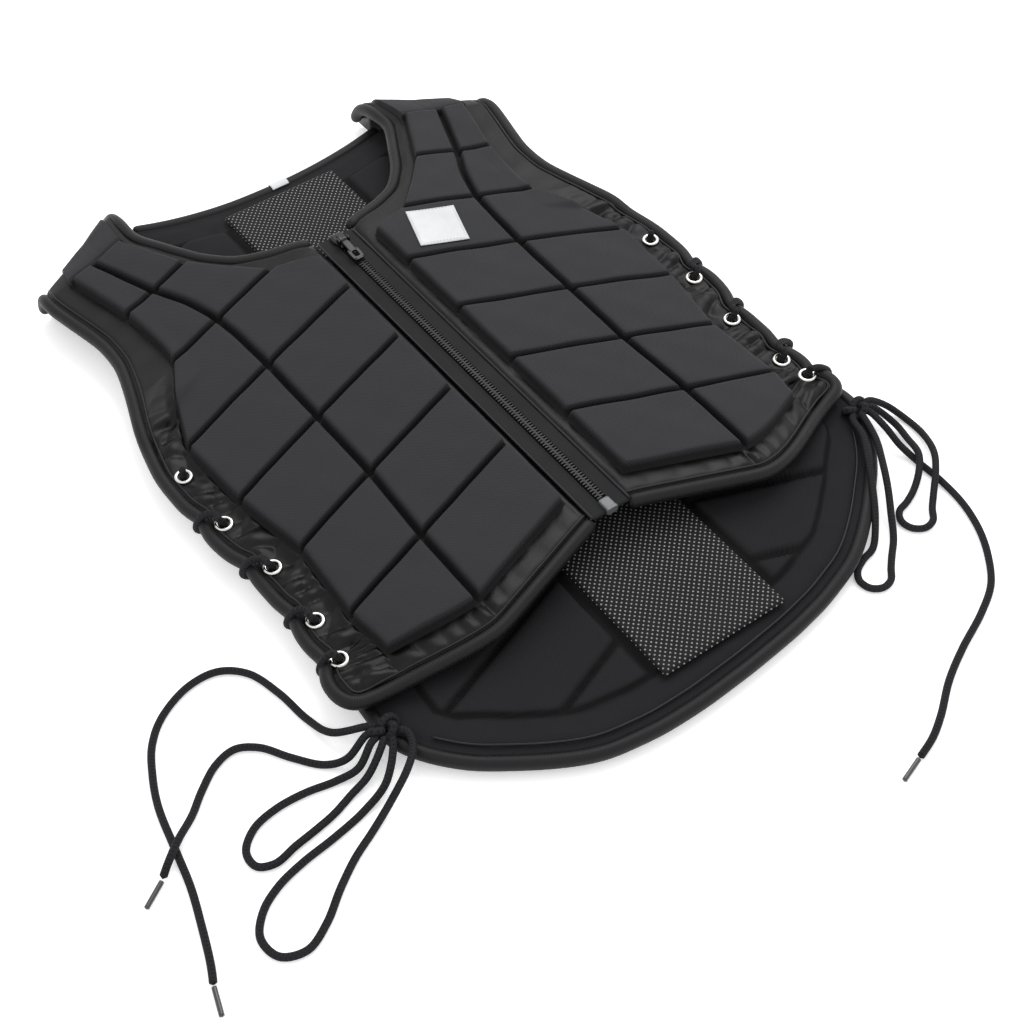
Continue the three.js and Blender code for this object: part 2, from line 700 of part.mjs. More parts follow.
function sideLacePoints(side) {
  const fronts = frontEyelets(side);
  const backs = backEyelets(side);
  const points = [];
  fronts.forEach((front, i) => {
    const back = backs[i];
    const next = fronts[i + 1];
    const overEdge = flapLift + flapThickness / 2 + bindingRadius + laceClear + gap;
    const underEdge = 1.5 * laceRadius;
    const reach = (place) => Math.abs(place.x) + eyeletInset + 2 * edgeOffset;
    const frontOut = Math.max(reach(front), next ? reach(next) : 0);
    const out = side * (Math.max(frontOut, reach(back)) + laceClear + gap);
    if (i === 0) points.push(new THREE.Vector3(front.x, front.y, overEdge + laceRadius));
    points.push(new THREE.Vector3(front.x, front.y, front.z + flapThickness / 2 + 2));
    points.push(new THREE.Vector3(front.x, front.y, front.z - flapThickness / 2 - 1));
    points.push(new THREE.Vector3(back.x, back.y, back.z + flapThickness / 2 + 1));
    points.push(new THREE.Vector3(back.x, back.y, back.z - flapThickness / 2 - gap));
    if (!next) return;
    const alongY = (share) => THREE.MathUtils.lerp(back.y, next.y, share);
    const leaveX = back.x + side * eyeletInset * 0.12;
    points.push(new THREE.Vector3(leaveX, alongY(laceBends.leave), underEdge + laceRadius / 4));
    points.push(new THREE.Vector3(back.x + side * eyeletInset * 0.4, alongY(laceBends.turn), underEdge));
    points.push(new THREE.Vector3(out - side * laceClear, alongY(laceBends.under), underEdge));
    points.push(new THREE.Vector3(out, alongY(laceBends.out), (overEdge + underEdge) / 2));
    points.push(new THREE.Vector3(out - side * laceRadius, alongY(laceBends.over), overEdge - laceRadius));
    points.push(new THREE.Vector3(side * frontOut - side * 1.4 * laceClear, alongY(laceBends.land), overEdge));
    points.push(new THREE.Vector3(next.x + side * eyeletInset * 0.4, next.y, overEdge));
  });
  return points;
}

for (const [side, name] of sides) {
  addMesh(`side_lace_${name}`, tubeAlong(sideLacePoints(side), sideLaceRadius, bindingSides, sideLaceStep), 'lace');
}

// Knots, loose ends and loops of the laces

function knot(x, y, z) {
  const geometry = new THREE.SphereGeometry(1, 10, 7);
  geometry.scale(knotLength / 2, knotWidth / 2, knotHeight / 2);
  geometry.translate(x, y, z);
  return geometry;
}
for (const [, name] of sides) addMesh(`lace_knot_${name}`, knot(...knotPlaces[name], knotZ), 'lace');

// Routes of the loose laces, point by point from the knot
const laceRoutes = {
  lace_end_right_1: [
    [-219.4, -205.2, 18.6], [-238, -190, 10], [-243, -168, 2.8], [-247, -140, 2.6], [-255, -115, 2.6],
    [-270, -102, 2.6], [-291, -101, 2.6], [-316, -112, 2.6], [-331, -127, 2.6], [-341, -146, 2.6],
    [-349, -168, 2.6], [-355, -200, 2.6], [-360, -228, 2.6], [-367, -253, 2.6], [-375, -278, 2.6],
    [-380, -290, 2.6],
  ],
  lace_end_right_2: [
    [-223.8, -208.9, 17.6], [-240, -210, 7], [-252, -203, 2.7], [-266, -186, 2.6], [-278, -168, 2.6],
    [-291, -160, 2.6], [-306, -163, 2.6], [-322, -174, 2.6], [-336, -187, 4.2], [-351, -199, 8.4],
    [-363, -208, 7], [-371, -214, 3.6],
  ],
  lace_loop_right_1: [
    [-224.2, -214.9, 17], [-238, -220, 7], [-253, -217, 2.7], [-272, -213, 2.6], [-292, -212, 2.6],
    [-310, -216, 2.6], [-322, -227, 2.6], [-322, -239, 2.6], [-312, -244, 2.6], [-296, -241, 2.6],
    [-282, -239, 2.6], [-266, -236, 2.6], [-251, -231, 2.7], [-236, -228, 7], [-219, -219.4, 17],
  ],
  lace_loop_right_2: [
    [-212.8, -221.3, 17.2], [-230, -239, 8], [-250, -245, 2.7], [-275, -250, 2.6], [-298, -253, 2.6],
    [-318, -258, 2.6], [-334, -267, 2.6], [-344, -281, 2.6], [-341, -297, 2.6], [-326, -303, 2.6],
    [-308, -295, 2.6], [-290, -281, 2.6], [-272, -269, 2.6], [-254, -260, 2.6], [-236, -252, 7],
    [-216, -243, 17], [-205, -232, 17.5], [-202.6, -221.2, 17.8],
  ],
  lace_end_left: [
    [210.4, -191.3, 18], [211, -208, 15.5], [213, -221, 8], [216, -237, 2.6], [216, -262, 2.6],
    [213, -285, 2.6], [205, -308, 2.6], [193, -328, 2.6], [177, -346, 2.6], [155, -359, 2.6],
    [125, -372, 2.6], [100, -385, 2.6], [77, -401, 2.6], [61, -410, 2.6], [44, -416, 2.6],
  ],
  lace_loop_left_1: [
    [217.6, -183, 18], [232, -188, 8], [238, -202, 2.8], [237, -220, 3.5], [228, -240, 7.5],
    [216, -254, 8.6], [203, -266, 5], [188, -277, 2.8], [175, -281, 2.6], [171, -273, 2.6],
    [180, -264, 2.6], [194, -256, 4.5], [207, -247, 8], [217, -236, 8.9], [224, -218, 5],
    [226, -204, 6], [215.9, -188.5, 17],
  ],
  lace_loop_left_2: [
    [196, -189.7, 18.6], [189, -207, 20.5], [178, -224, 19.5], [165, -243, 17], [150, -263, 11],
    [136, -277, 3.2], [121, -287, 2.6], [112, -296, 2.6], [116, -303, 2.6], [128, -299, 2.6],
    [141, -290, 2.6], [153, -279, 3.5], [163, -265, 9], [174, -249, 15], [186, -230, 18],
    [196, -213, 18.5], [203.6, -192, 18.4],
  ],
};
for (const [name, route] of Object.entries(laceRoutes)) {
  const points = route.map(([x, y, z]) => new THREE.Vector3(x, y, z));
  addMesh(name, tubeAlong(points, laceRadius, laceSides, laceStep), 'lace');
}

// Hard tips, each in line with its lace
const tipPlaces = {
  aglet_right_1: { at: laceRoutes.lace_end_right_1, turn: -16 },
  aglet_right_2: { at: laceRoutes.lace_end_right_2, turn: -57 },
  aglet_left: { at: laceRoutes.lace_end_left, turn: -72 },
};
for (const [name, { at, turn }] of Object.entries(tipPlaces)) {
  const [x, y] = at[at.length - 1];
  const geometry = new THREE.CylinderGeometry(agletRadius, agletRadius, agletLength, laceSides);
  geometry.translate(0, -agletLength / 2 - 2 * gap, 0);
  const aglet = addMesh(name, geometry, 'aglet');
  aglet.position.set(x, y, laceRadius + gap / 2);
  aglet.rotation.z = THREE.MathUtils.degToRad(turn);
}

// The origin is under the middle of everything but the loose laces
const looseNames = [...Object.keys(laceRoutes), ...Object.keys(tipPlaces)];
const bounds = new THREE.Box3();
vest.updateMatrixWorld(true);
vest.traverse((node) => {
  if (node.isMesh && !looseNames.includes(node.name)) bounds.expandByObject(node, true);
});
const middle = bounds.getCenter(new THREE.Vector3());
vest.position.set(-middle.x, -middle.y, -bounds.min.z);

export default vest;
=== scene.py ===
"""Looks of a padded riding body protector that lies on its back, front side up."""

import logging
import math
from dataclasses import dataclass, field
from enum import Enum

import bpy
import numpy as np
from mathutils import Matrix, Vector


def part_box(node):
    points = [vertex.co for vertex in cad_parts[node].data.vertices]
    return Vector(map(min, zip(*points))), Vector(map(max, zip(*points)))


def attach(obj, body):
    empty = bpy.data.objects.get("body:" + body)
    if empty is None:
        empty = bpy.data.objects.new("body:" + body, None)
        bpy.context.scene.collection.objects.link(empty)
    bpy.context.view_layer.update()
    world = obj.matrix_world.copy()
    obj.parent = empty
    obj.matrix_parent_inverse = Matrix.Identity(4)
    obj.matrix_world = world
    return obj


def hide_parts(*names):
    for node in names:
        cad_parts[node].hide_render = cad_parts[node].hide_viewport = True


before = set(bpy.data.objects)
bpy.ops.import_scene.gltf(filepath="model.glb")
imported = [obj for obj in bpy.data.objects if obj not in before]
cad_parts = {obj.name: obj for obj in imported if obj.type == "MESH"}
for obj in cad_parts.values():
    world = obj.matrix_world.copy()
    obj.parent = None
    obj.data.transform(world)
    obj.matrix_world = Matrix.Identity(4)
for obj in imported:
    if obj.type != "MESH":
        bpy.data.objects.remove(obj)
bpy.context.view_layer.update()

log = logging.getLogger("body_protector")

MM = 0.001
ORIGIN_SHIFT = np.array([7.207, -5.8, 0.0])  # from the pattern's own origin to the frame's, in mm
EYELET_FIRST_ROW = 2.18  # row of blocks at which the first eyelet stands
EYELET_ROW_STEP = 0.83  # rows from one eyelet to the next
EYELET_INSET = 9.0  # mm from a side edge to the middle of its eyelets
FRONT_PINCH = 5.5  # mm that a lace pulls the front's edge in where it crosses
BACK_PINCH = 4.5  # mm that it pulls the back's edge in
BELL_WIDTH = 8.0  # mm over which a lace or an eyelet works on the cloth
Grid = np.ndarray


class Side(Enum):
    """The wearer's side that a piece belongs to, with its sign along X."""

    RIGHT = -1
    LEFT = 1

    @property
    def word(self) -> str:
        """The side's name as the CAD nodes spell it."""
        return self.name.lower()


class Pattern(Enum):
    """What the surface of a finish is made of, seen close by."""

    WEAVE = "weave"
    RIB = "rib"
    BRAID = "braid"
    DOTS = "dots"
    GRAIN = "grain"
    STITCHED = "stitched"


# Numbers and shapes


def smoothstep(x: Grid, low: float, high: float) -> Grid:
    """Soft step: 3t squared minus 2t cubed, where t runs from 0 at low to 1 at high."""
    t = np.clip((x - low) / (high - low), 0.0, 1.0)
    return t * t * (3.0 - 2.0 * t)


def soft_lookup(at: Grid, keys: list, values: list, reach: float) -> Grid:
    """Reads a table as a broken line whose corners are rounded.

    The value is the mean of the broken line at seven places from -reach to +reach round each one.

    Args:
        at: where the table is read.
        keys: the table's places, rising.
        values: the table's values.
        reach: how far round each place the mean is taken.

    Returns:
        The values, with the shape of at.
    """
    spots = np.linspace(-1.0, 1.0, 7) * reach
    return np.mean([np.interp(at + spot, keys, values) for spot in spots], axis=0)


def rounded_wall(distance: Grid, half_groove: float, radius: float) -> Grid:
    """Height of a foam block's edge as a share: a quarter circle that starts half a groove away from the
    groove's middle and is full one radius further on."""
    t = np.clip((distance - half_groove) / radius, 0.0, 1.0)
    return np.sqrt(1.0 - (1.0 - t) ** 2)


def ripple(x: Grid, y: Grid, size: float, seed: float) -> Grid:
    """Soft unevenness from -1 to 1: the mean of four sine waves that cross at different angles.

    Args:
        x: places across, in mm.
        y: places along, in mm.
        size: length of the longest wave, in mm.
        seed: number that moves the waves.

    Returns:
        The unevenness, with the shape of x.
    """
    turn = 2.0 * math.pi / size
    waves = [
        np.sin(turn * (0.9 * x + 0.5 * y) + seed),
        np.sin(turn * (-0.7 * x + 1.2 * y) + 2.1 * seed),
        np.sin(turn * (1.7 * x + 1.1 * y) + 3.7 * seed),
        np.sin(turn * (0.4 * x - 2.1 * y) + 5.3 * seed),
    ]
    return sum(waves) / 4.0


def drawn_in(y: Grid, crossings: Grid, depth: float) -> Grid:
    """How far a lace pulls an edge in at height y: a bell curve 8 mm wide round the nearest of its crossings."""
    return depth * np.exp(-(((y[..., None] - crossings) / BELL_WIDTH) ** 2)).max(axis=-1)


def in_frame(points: Grid) -> Grid:
    """Moves points from the pattern's millimetres to the frame's metres."""
    return (np.asarray(points, dtype=float) + ORIGIN_SHIFT) * MM


def patch(rows: int, cols: int, wrap_rows: bool = False, wrap_cols: bool = False) -> tuple:
    """Quads of a grid of points, numbered row by row.

    Args:
        rows: number of rows of points.
        cols: number of points in a row.
        wrap_rows: whether the last row joins the first.
        wrap_cols: whether the last point of a row joins its first.

    Returns:
        The corners' point numbers, their rows and their columns, each with four per quad. Rows and columns
        aren't wrapped, so a pattern's coordinates can run on over the join.
    """
    r, c = np.meshgrid(
        np.arange(rows if wrap_rows else rows - 1), np.arange(cols if wrap_cols else cols - 1), indexing="ij"
    )
    corner_r = np.stack([r, r, r + 1, r + 1], axis=-1).reshape(-1, 4)
    corner_c = np.stack([c, c + 1, c + 1, c], axis=-1).reshape(-1, 4)
    return (corner_r % rows) * cols + corner_c % cols, corner_r, corner_c


def signed_volume(verts: Grid, quads: Grid) -> float:
    """Volume inside closed quads, each cut in two: a sixth of the sum of a . (b x c). It is negative when the
    faces point inwards."""
    a, b, c, d = (verts[quads[:, i]] for i in range(4))
    first = np.einsum("ij,ij->i", a, np.cross(b, c))
    second = np.einsum("ij,ij->i", a, np.cross(c, d))
    return float((first + second).sum() / 6.0)


@dataclass
class Shell:
    """Points, quads and pattern coordinates of one closed surface. A quad whose last two corners are one
    point is a triangle."""

    verts: Grid
    quads: Grid
    uv: Grid

    def moved(self, offset: Grid) -> "Shell":
        """The same surface, moved by offset."""
        return Shell(self.verts + np.asarray(offset), self.quads, self.uv)

    def turned(self, matrix: Grid) -> "Shell":
        """The same surface, turned by a 3 by 3 matrix."""
        return Shell(self.verts @ np.asarray(matrix).T, self.quads, self.uv)

    def outward(self) -> "Shell":
        """The same surface with its faces turned to point outwards."""
        if signed_volume(self.verts, self.quads) >= 0.0:
            return self
        return Shell(self.verts, self.quads[:, ::-1], self.uv[:, ::-1])


def joined(shells: list) -> Shell:
    """Several closed surfaces as one, each turned outwards first."""
    shells = [shell.outward() for shell in shells]
    starts = np.cumsum([0] + [len(shell.verts) for shell in shells[:-1]])
    return Shell(
        np.concatenate([shell.verts for shell in shells]),
        np.concatenate([shell.quads + start for shell, start in zip(shells, starts)]),
        np.concatenate([shell.uv for shell in shells]),
    )


def between(top: Grid, bottom: Grid, uv: Grid) -> Shell:
    """Closed solid between two grids of the same size: the top's quads, the bottom's the other way round, and
    a wall of quads round the rim, which the rim's points are taken round once for.

    Args:
        top: points of the upper face, rows by columns by 3.
        bottom: points of the lower face.
        uv: pattern coordinates of both, rows by columns by 2.

    Returns:
        The closed surface.
    """
    rows, cols = top.shape[:2]
    count = rows * cols
    quads, _, _ = patch(rows, cols)
    number = np.arange(count).reshape(rows, cols)
    rim = np.concatenate([number[0, :-1], number[:-1, -1], number[-1, :0:-1], number[:0:-1, 0]])
    ahead = np.roll(rim, -1)
    wall = np.stack([ahead, rim, rim + count, ahead + count], axis=-1)
    flat_uv = np.concatenate([uv.reshape(-1, 2), uv.reshape(-1, 2)])
    every = np.concatenate([quads, quads[:, ::-1] + count, wall])
    verts = np.concatenate([top.reshape(-1, 3), bottom.reshape(-1, 3)])
    return Shell(verts, every, flat_uv[every]).outward()


def lengths_along(path: Grid) -> Grid:
    """Distance of each point of a path from its start."""
    steps = np.linalg.norm(np.diff(path, axis=0), axis=1)
    return np.concatenate([[0.0], np.cumsum(steps)])


def resampled(path: Grid, step: float) -> Grid:
    """The same path with its points one step apart."""
    along = lengths_along(path)
    count = max(2, int(round(along[-1] / step)) + 1)
    at = np.linspace(0.0, along[-1], count)
    return np.stack([np.interp(at, along, path[:, i]) for i in range(3)], axis=-1)


def softened(path: Grid, times: int) -> Grid:
    """The path with each inner point set, several times over, to the mean of it and its neighbours."""
    path = path.copy()
    for _ in range(times):
        path[1:-1] = (path[:-2] + 2.0 * path[1:-1] + path[2:]) / 4.0
    return path


def spline(points: list, per_span: int) -> Grid:
    """Smooth curve through all the points: a centripetal Catmull-Rom spline, where the spacing of the knots
    is the square root of the distance between the points.

    Args:
        points: points that the curve passes through.
        per_span: how many points of the curve lie between two of them.

    Returns:
        The curve's points.
    """
    p = np.asarray(points, dtype=float)
    p = np.vstack([2 * p[0] - p[1], p, 2 * p[-1] - p[-2]])
    gaps = np.sqrt(np.linalg.norm(np.diff(p, axis=0), axis=1))
    t0 = np.zeros(len(p) - 3)
    t1 = t0 + gaps[:-2]
    t2 = t1 + gaps[1:-1]
    t3 = t2 + gaps[2:]
    share = np.arange(per_span) / per_span
    t = (t1[:, None] + (t2 - t1)[:, None] * share)[..., None]
    t0, t1, t2, t3 = (v[:, None, None] for v in (t0, t1, t2, t3))
    p0, p1, p2, p3 = (p[i : len(p) - 3 + i][:, None, :] for i in range(4))
    a1 = (t1 - t) / (t1 - t0) * p0 + (t - t0) / (t1 - t0) * p1
    a2 = (t2 - t) / (t2 - t1) * p1 + (t - t1) / (t2 - t1) * p2
    a3 = (t3 - t) / (t3 - t2) * p2 + (t - t2) / (t3 - t2) * p3
    b1 = (t2 - t) / (t2 - t0) * a1 + (t - t0) / (t2 - t0) * a2
    b2 = (t3 - t) / (t3 - t1) * a2 + (t - t1) / (t3 - t1) * a3
    curve = (t2 - t) / (t2 - t1) * b1 + (t - t1) / (t2 - t1) * b2
    return np.vstack([curve.reshape(-1, 3), p[-2]])


def beside(line: Grid) -> Grid:
    """Directions to the right of a line in plan: its own direction, laid flat, with X and Y changed round and
    the new Y turned."""
    along = np.gradient(line, axis=0)
    along[:, 2] = 0.0
    along /= np.linalg.norm(along, axis=1)[:, None]
    return np.stack([along[:, 1], -along[:, 0], np.zeros(len(along))], axis=-1)


def frames_along(path: Grid) -> tuple:
    """Two directions square to the path at each point, carried on from ring to ring without a twist: each
    ring takes the one before it, less its part along the new direction.

    Args:
        path: points of the path.

    Returns:
        Both directions, with a row for each point.
    """
    forward = np.gradient(path, axis=0)
    forward /= np.linalg.norm(forward, axis=1)[:, None]
    up = np.array([0.0, 0.0, 1.0]) if abs(forward[0, 2]) < 0.9 else np.array([0.0, 1.0, 0.0])
    normals = np.empty_like(path)
    for i, along in enumerate(forward):
        up = up - along * float(up @ along)
        up /= np.linalg.norm(up)
        normals[i] = up
    return normals, np.cross(forward, normals)


def tube(path: Grid, radius: float, sides: int = 14, flat: float = 1.0, closed_ends: float = 1.0) -> Shell:
    """Tube along a path, with round ends: the ring at angle a stands at radius times cos a to one side and
    sin a to the other. The radius falls to nothing at both ends as a quarter circle does.

    Args:
        path: points of the middle line.
        radius: of the tube.
        sides: number of points in a ring.
        flat: height of the section as a share of its width.
        closed_ends: length of the round ends as a share of the radius.

    Returns:
        The closed surface, with the distance along and the share of a turn as its pattern coordinates.
    """
    first, second = frames_along(path)
    along = lengths_along(path)
    to_end = np.minimum(along, along[-1] - along) / (radius * closed_ends)
    t = np.clip(to_end, 0.0, 1.0)
    size = radius * np.maximum(np.sqrt(1.0 - (1.0 - t) ** 2), 0.02)
    angle = np.arange(sides) * 2.0 * math.pi / sides
    rings = (
        path[:, None, :]
        + second[:, None, :] * (size[:, None] * np.cos(angle))[..., None]
        + first[:, None, :] * (size[:, None] * np.sin(angle) * flat)[..., None]
    )
    rows = len(path)
    verts = np.vstack([rings.reshape(-1, 3), path[:1], path[-1:]])
    quads, corner_r, corner_c = patch(rows, sides, wrap_cols=True)
    uv = np.stack([along[corner_r] * MM, corner_c / sides], axis=-1)
    k = np.arange(sides)
    after = (k + 1) % sides
    start = np.stack([np.full(sides, rows * sides), after, k, k], axis=-1)
    last = (rows - 1) * sides
    end = np.stack([np.full(sides, rows * sides + 1), last + k, last + after, last + after], axis=-1)
    caps = np.concatenate([start, end])
    every_uv = np.concatenate([uv, np.zeros((2 * sides, 4, 2))])
    return Shell(verts, np.concatenate([quads, caps]), every_uv).outward()


def turned_profile(profile: list, sides: int) -> Shell:
    """Ring turned on Z from a closed profile of (radius, height) points: each point goes round at
    (radius cos a, radius sin a, height)."""
    outline = np.asarray(profile, dtype=float)
    angle = np.arange(sides) * 2.0 * math.pi / sides
    rings = np.stack(
        [
            outline[:, 0, None] * np.cos(angle),
            outline[:, 0, None] * np.sin(angle),
            np.repeat(outline[:, 1, None], sides, axis=1),
        ],
        axis=-1,
    )
    quads, corner_r, corner_c = patch(len(outline), sides, wrap_rows=True, wrap_cols=True)
    uv = np.stack([corner_r / len(outline), corner_c / sides], axis=-1)
    return Shell(rings.reshape(-1, 3), quads, uv).outward()


def rounded_block(size: tuple, centre: tuple, sharp: float = 0.3, rows: int = 14, cols: int = 28) -> Shell:
    """Block with soft edges, a superellipsoid: each of the sphere's sines and cosines is raised to a power
    below one, keeping its sign, which pushes the sphere out towards its box.

    Args:
        size: along X, Y and Z.
        centre: its middle.
        sharp: the power; smaller is squarer.
        rows: rings from pole to pole.
        cols: points in a ring.

    Returns:
        The closed surface.
    """

    def powered(value: Grid) -> Grid:
        """The value's size to the power sharp, with its sign."""
        return np.sign(value) * np.abs(value) ** sharp

    lat = np.linspace(-math.pi / 2, math.pi / 2, rows + 2)[1:-1]
    lon = np.arange(cols) * 2.0 * math.pi / cols + math.pi / cols
    x = powered(np.cos(lat))[:, None] * powered(np.cos(lon))
    y = powered(np.cos(lat))[:, None] * powered(np.sin(lon))
    z = np.repeat(powered(np.sin(lat))[:, None], cols, axis=1)
    ball = np.stack([x, y, z], axis=-1).reshape(-1, 3)
    ball = np.vstack([ball, [0, 0, -1], [0, 0, 1]])
    quads, corner_r, corner_c = patch(rows, cols, wrap_cols=True)
    k = np.arange(cols)
    after = (k + 1) % cols
    south = np.stack([np.full(cols, rows * cols), after, k, k], axis=-1)
    last = (rows - 1) * cols
    north = np.stack([np.full(cols, rows * cols + 1), last + k, last + after, last + after], axis=-1)
    uv = np.stack([corner_r / rows, corner_c / cols], axis=-1)
    verts = ball * np.asarray(size) / 2.0 + np.asarray(centre)
    every = np.concatenate([quads, south, north])
    return Shell(verts, every, np.concatenate([uv, np.zeros((2 * cols, 4, 2))])).outward()


def make_piece(
    name: str, shell: Shell, material: bpy.types.Material, smooth_angle: float = 180.0
) -> bpy.types.Object:
    """Puts a closed surface into a mesh object that sits at the origin.

    Args:
        name: of the piece.
        shell: its surface, in the pattern's millimetres.
        material: its finish.
        smooth_angle: edges sharper than this many degrees stay crisp.

    Returns:
        The new object.
    """
    verts = in_frame(shell.verts)
    quads = shell.quads
    triangle = quads[:, 2] == quads[:, 3]
    late = quads[:, 0] == quads[:, 1]
    sizes = np.where(triangle | late, 3, 4)
    keep = np.ones(quads.shape, dtype=bool)
    keep[triangle, 3] = False
    keep[late & ~triangle, 0] = False
    loops = quads[keep]
    mesh = bpy.data.meshes.new(name)
    mesh.vertices.add(len(verts))
    mesh.vertices.foreach_set("co", verts.ravel())
    mesh.loops.add(len(loops))
    mesh.loops.foreach_set("vertex_index", loops.astype(np.int32))
    mesh.polygons.add(len(quads))
    mesh.polygons.foreach_set("loop_start", np.concatenate([[0], np.cumsum(sizes)[:-1]]).astype(np.int32))
    mesh.polygons.foreach_set("loop_total", sizes.astype(np.int32))
    layer = mesh.uv_layers.new(name="UVMap")
    layer.data.foreach_set("uv", shell.uv[keep].astype(np.float32).ravel())
    mesh.update(calc_edges=True)
    mesh.validate()
    mesh.polygons.foreach_set("use_smooth", np.ones(len(mesh.polygons), dtype=bool))
    if smooth_angle < 180.0:
        mesh.set_sharp_from_angle(angle=math.radians(smooth_angle))
    mesh.materials.append(material)
    piece = bpy.data.objects.new(name, mesh)
    bpy.context.scene.collection.objects.link(piece)
    return piece


def store_painted_shade(piece: bpy.types.Object, height: Grid) -> None:
    """Stores at each point the painted shade for its colour: low in the grooves and at the blocks' feet, 1 on a block's
    top.
    """
    layer = piece.data.attributes.new("painted_shade_level", "FLOAT", "POINT")
    layer.data.foreach_set("value", height.astype(np.float32))


def settle(piece: bpy.types.Object, body: str, slot: str, *nodes: str) -> bpy.types.Object:
    """Lets a piece ride on a body and hides the CAD nodes that it stands for."""
    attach(piece, body)
    if nodes:
        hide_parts(*nodes)
    return piece


# Finishes


def linear(code: str) -> tuple:
    """Turns an sRGB hex colour to Blender's linear red, green, blue and alpha."""
    shares = [int(code[i : i + 2], 16) / 255.0 for i in (1, 3, 5)]
    return tuple(c / 12.92 if c <= 0.04045 else ((c + 0.055) / 1.055) ** 2.4 for c in shares) + (1.0,)


def add_node(tree: bpy.types.NodeTree, kind: str, settings: dict, values: dict, links: dict) -> bpy.types.Node:
    """Adds a shader node.

    Args:
        tree: the material's nodes.
        kind: the node's type.
        settings: its own properties by name.
        values: numbers or colours for its inputs, by name or number.
        links: the output that feeds each linked input.

    Returns:
        The new node.
    """
    node = tree.nodes.new(kind)
    for key, value in settings.items():
        setattr(node, key, value)
    for key, value in values.items():
        node.inputs[key].default_value = value
    for key, output in links.items():
        tree.links.new(output, node.inputs[key])
    return node


def turns(tree: bpy.types.NodeTree, along: object, around: object, per_metre: float, per_turn: float) -> object:
    """A sine from -1 to 1 of 2 pi times (along times per_metre plus around times per_turn)."""
    first = add_node(
        tree, "ShaderNodeMath", {"operation": "MULTIPLY"}, {1: 2.0 * math.pi * per_metre}, {0: along}
    ).outputs[0]
    both = add_node(
        tree, "ShaderNodeMath", {"operation": "MULTIPLY_ADD"}, {1: 2.0 * math.pi * per_turn}, {0: around, 2: first}
    ).outputs[0]
    return add_node(tree, "ShaderNodeMath", {"operation": "SINE"}, {}, {0: both}).outputs[0]


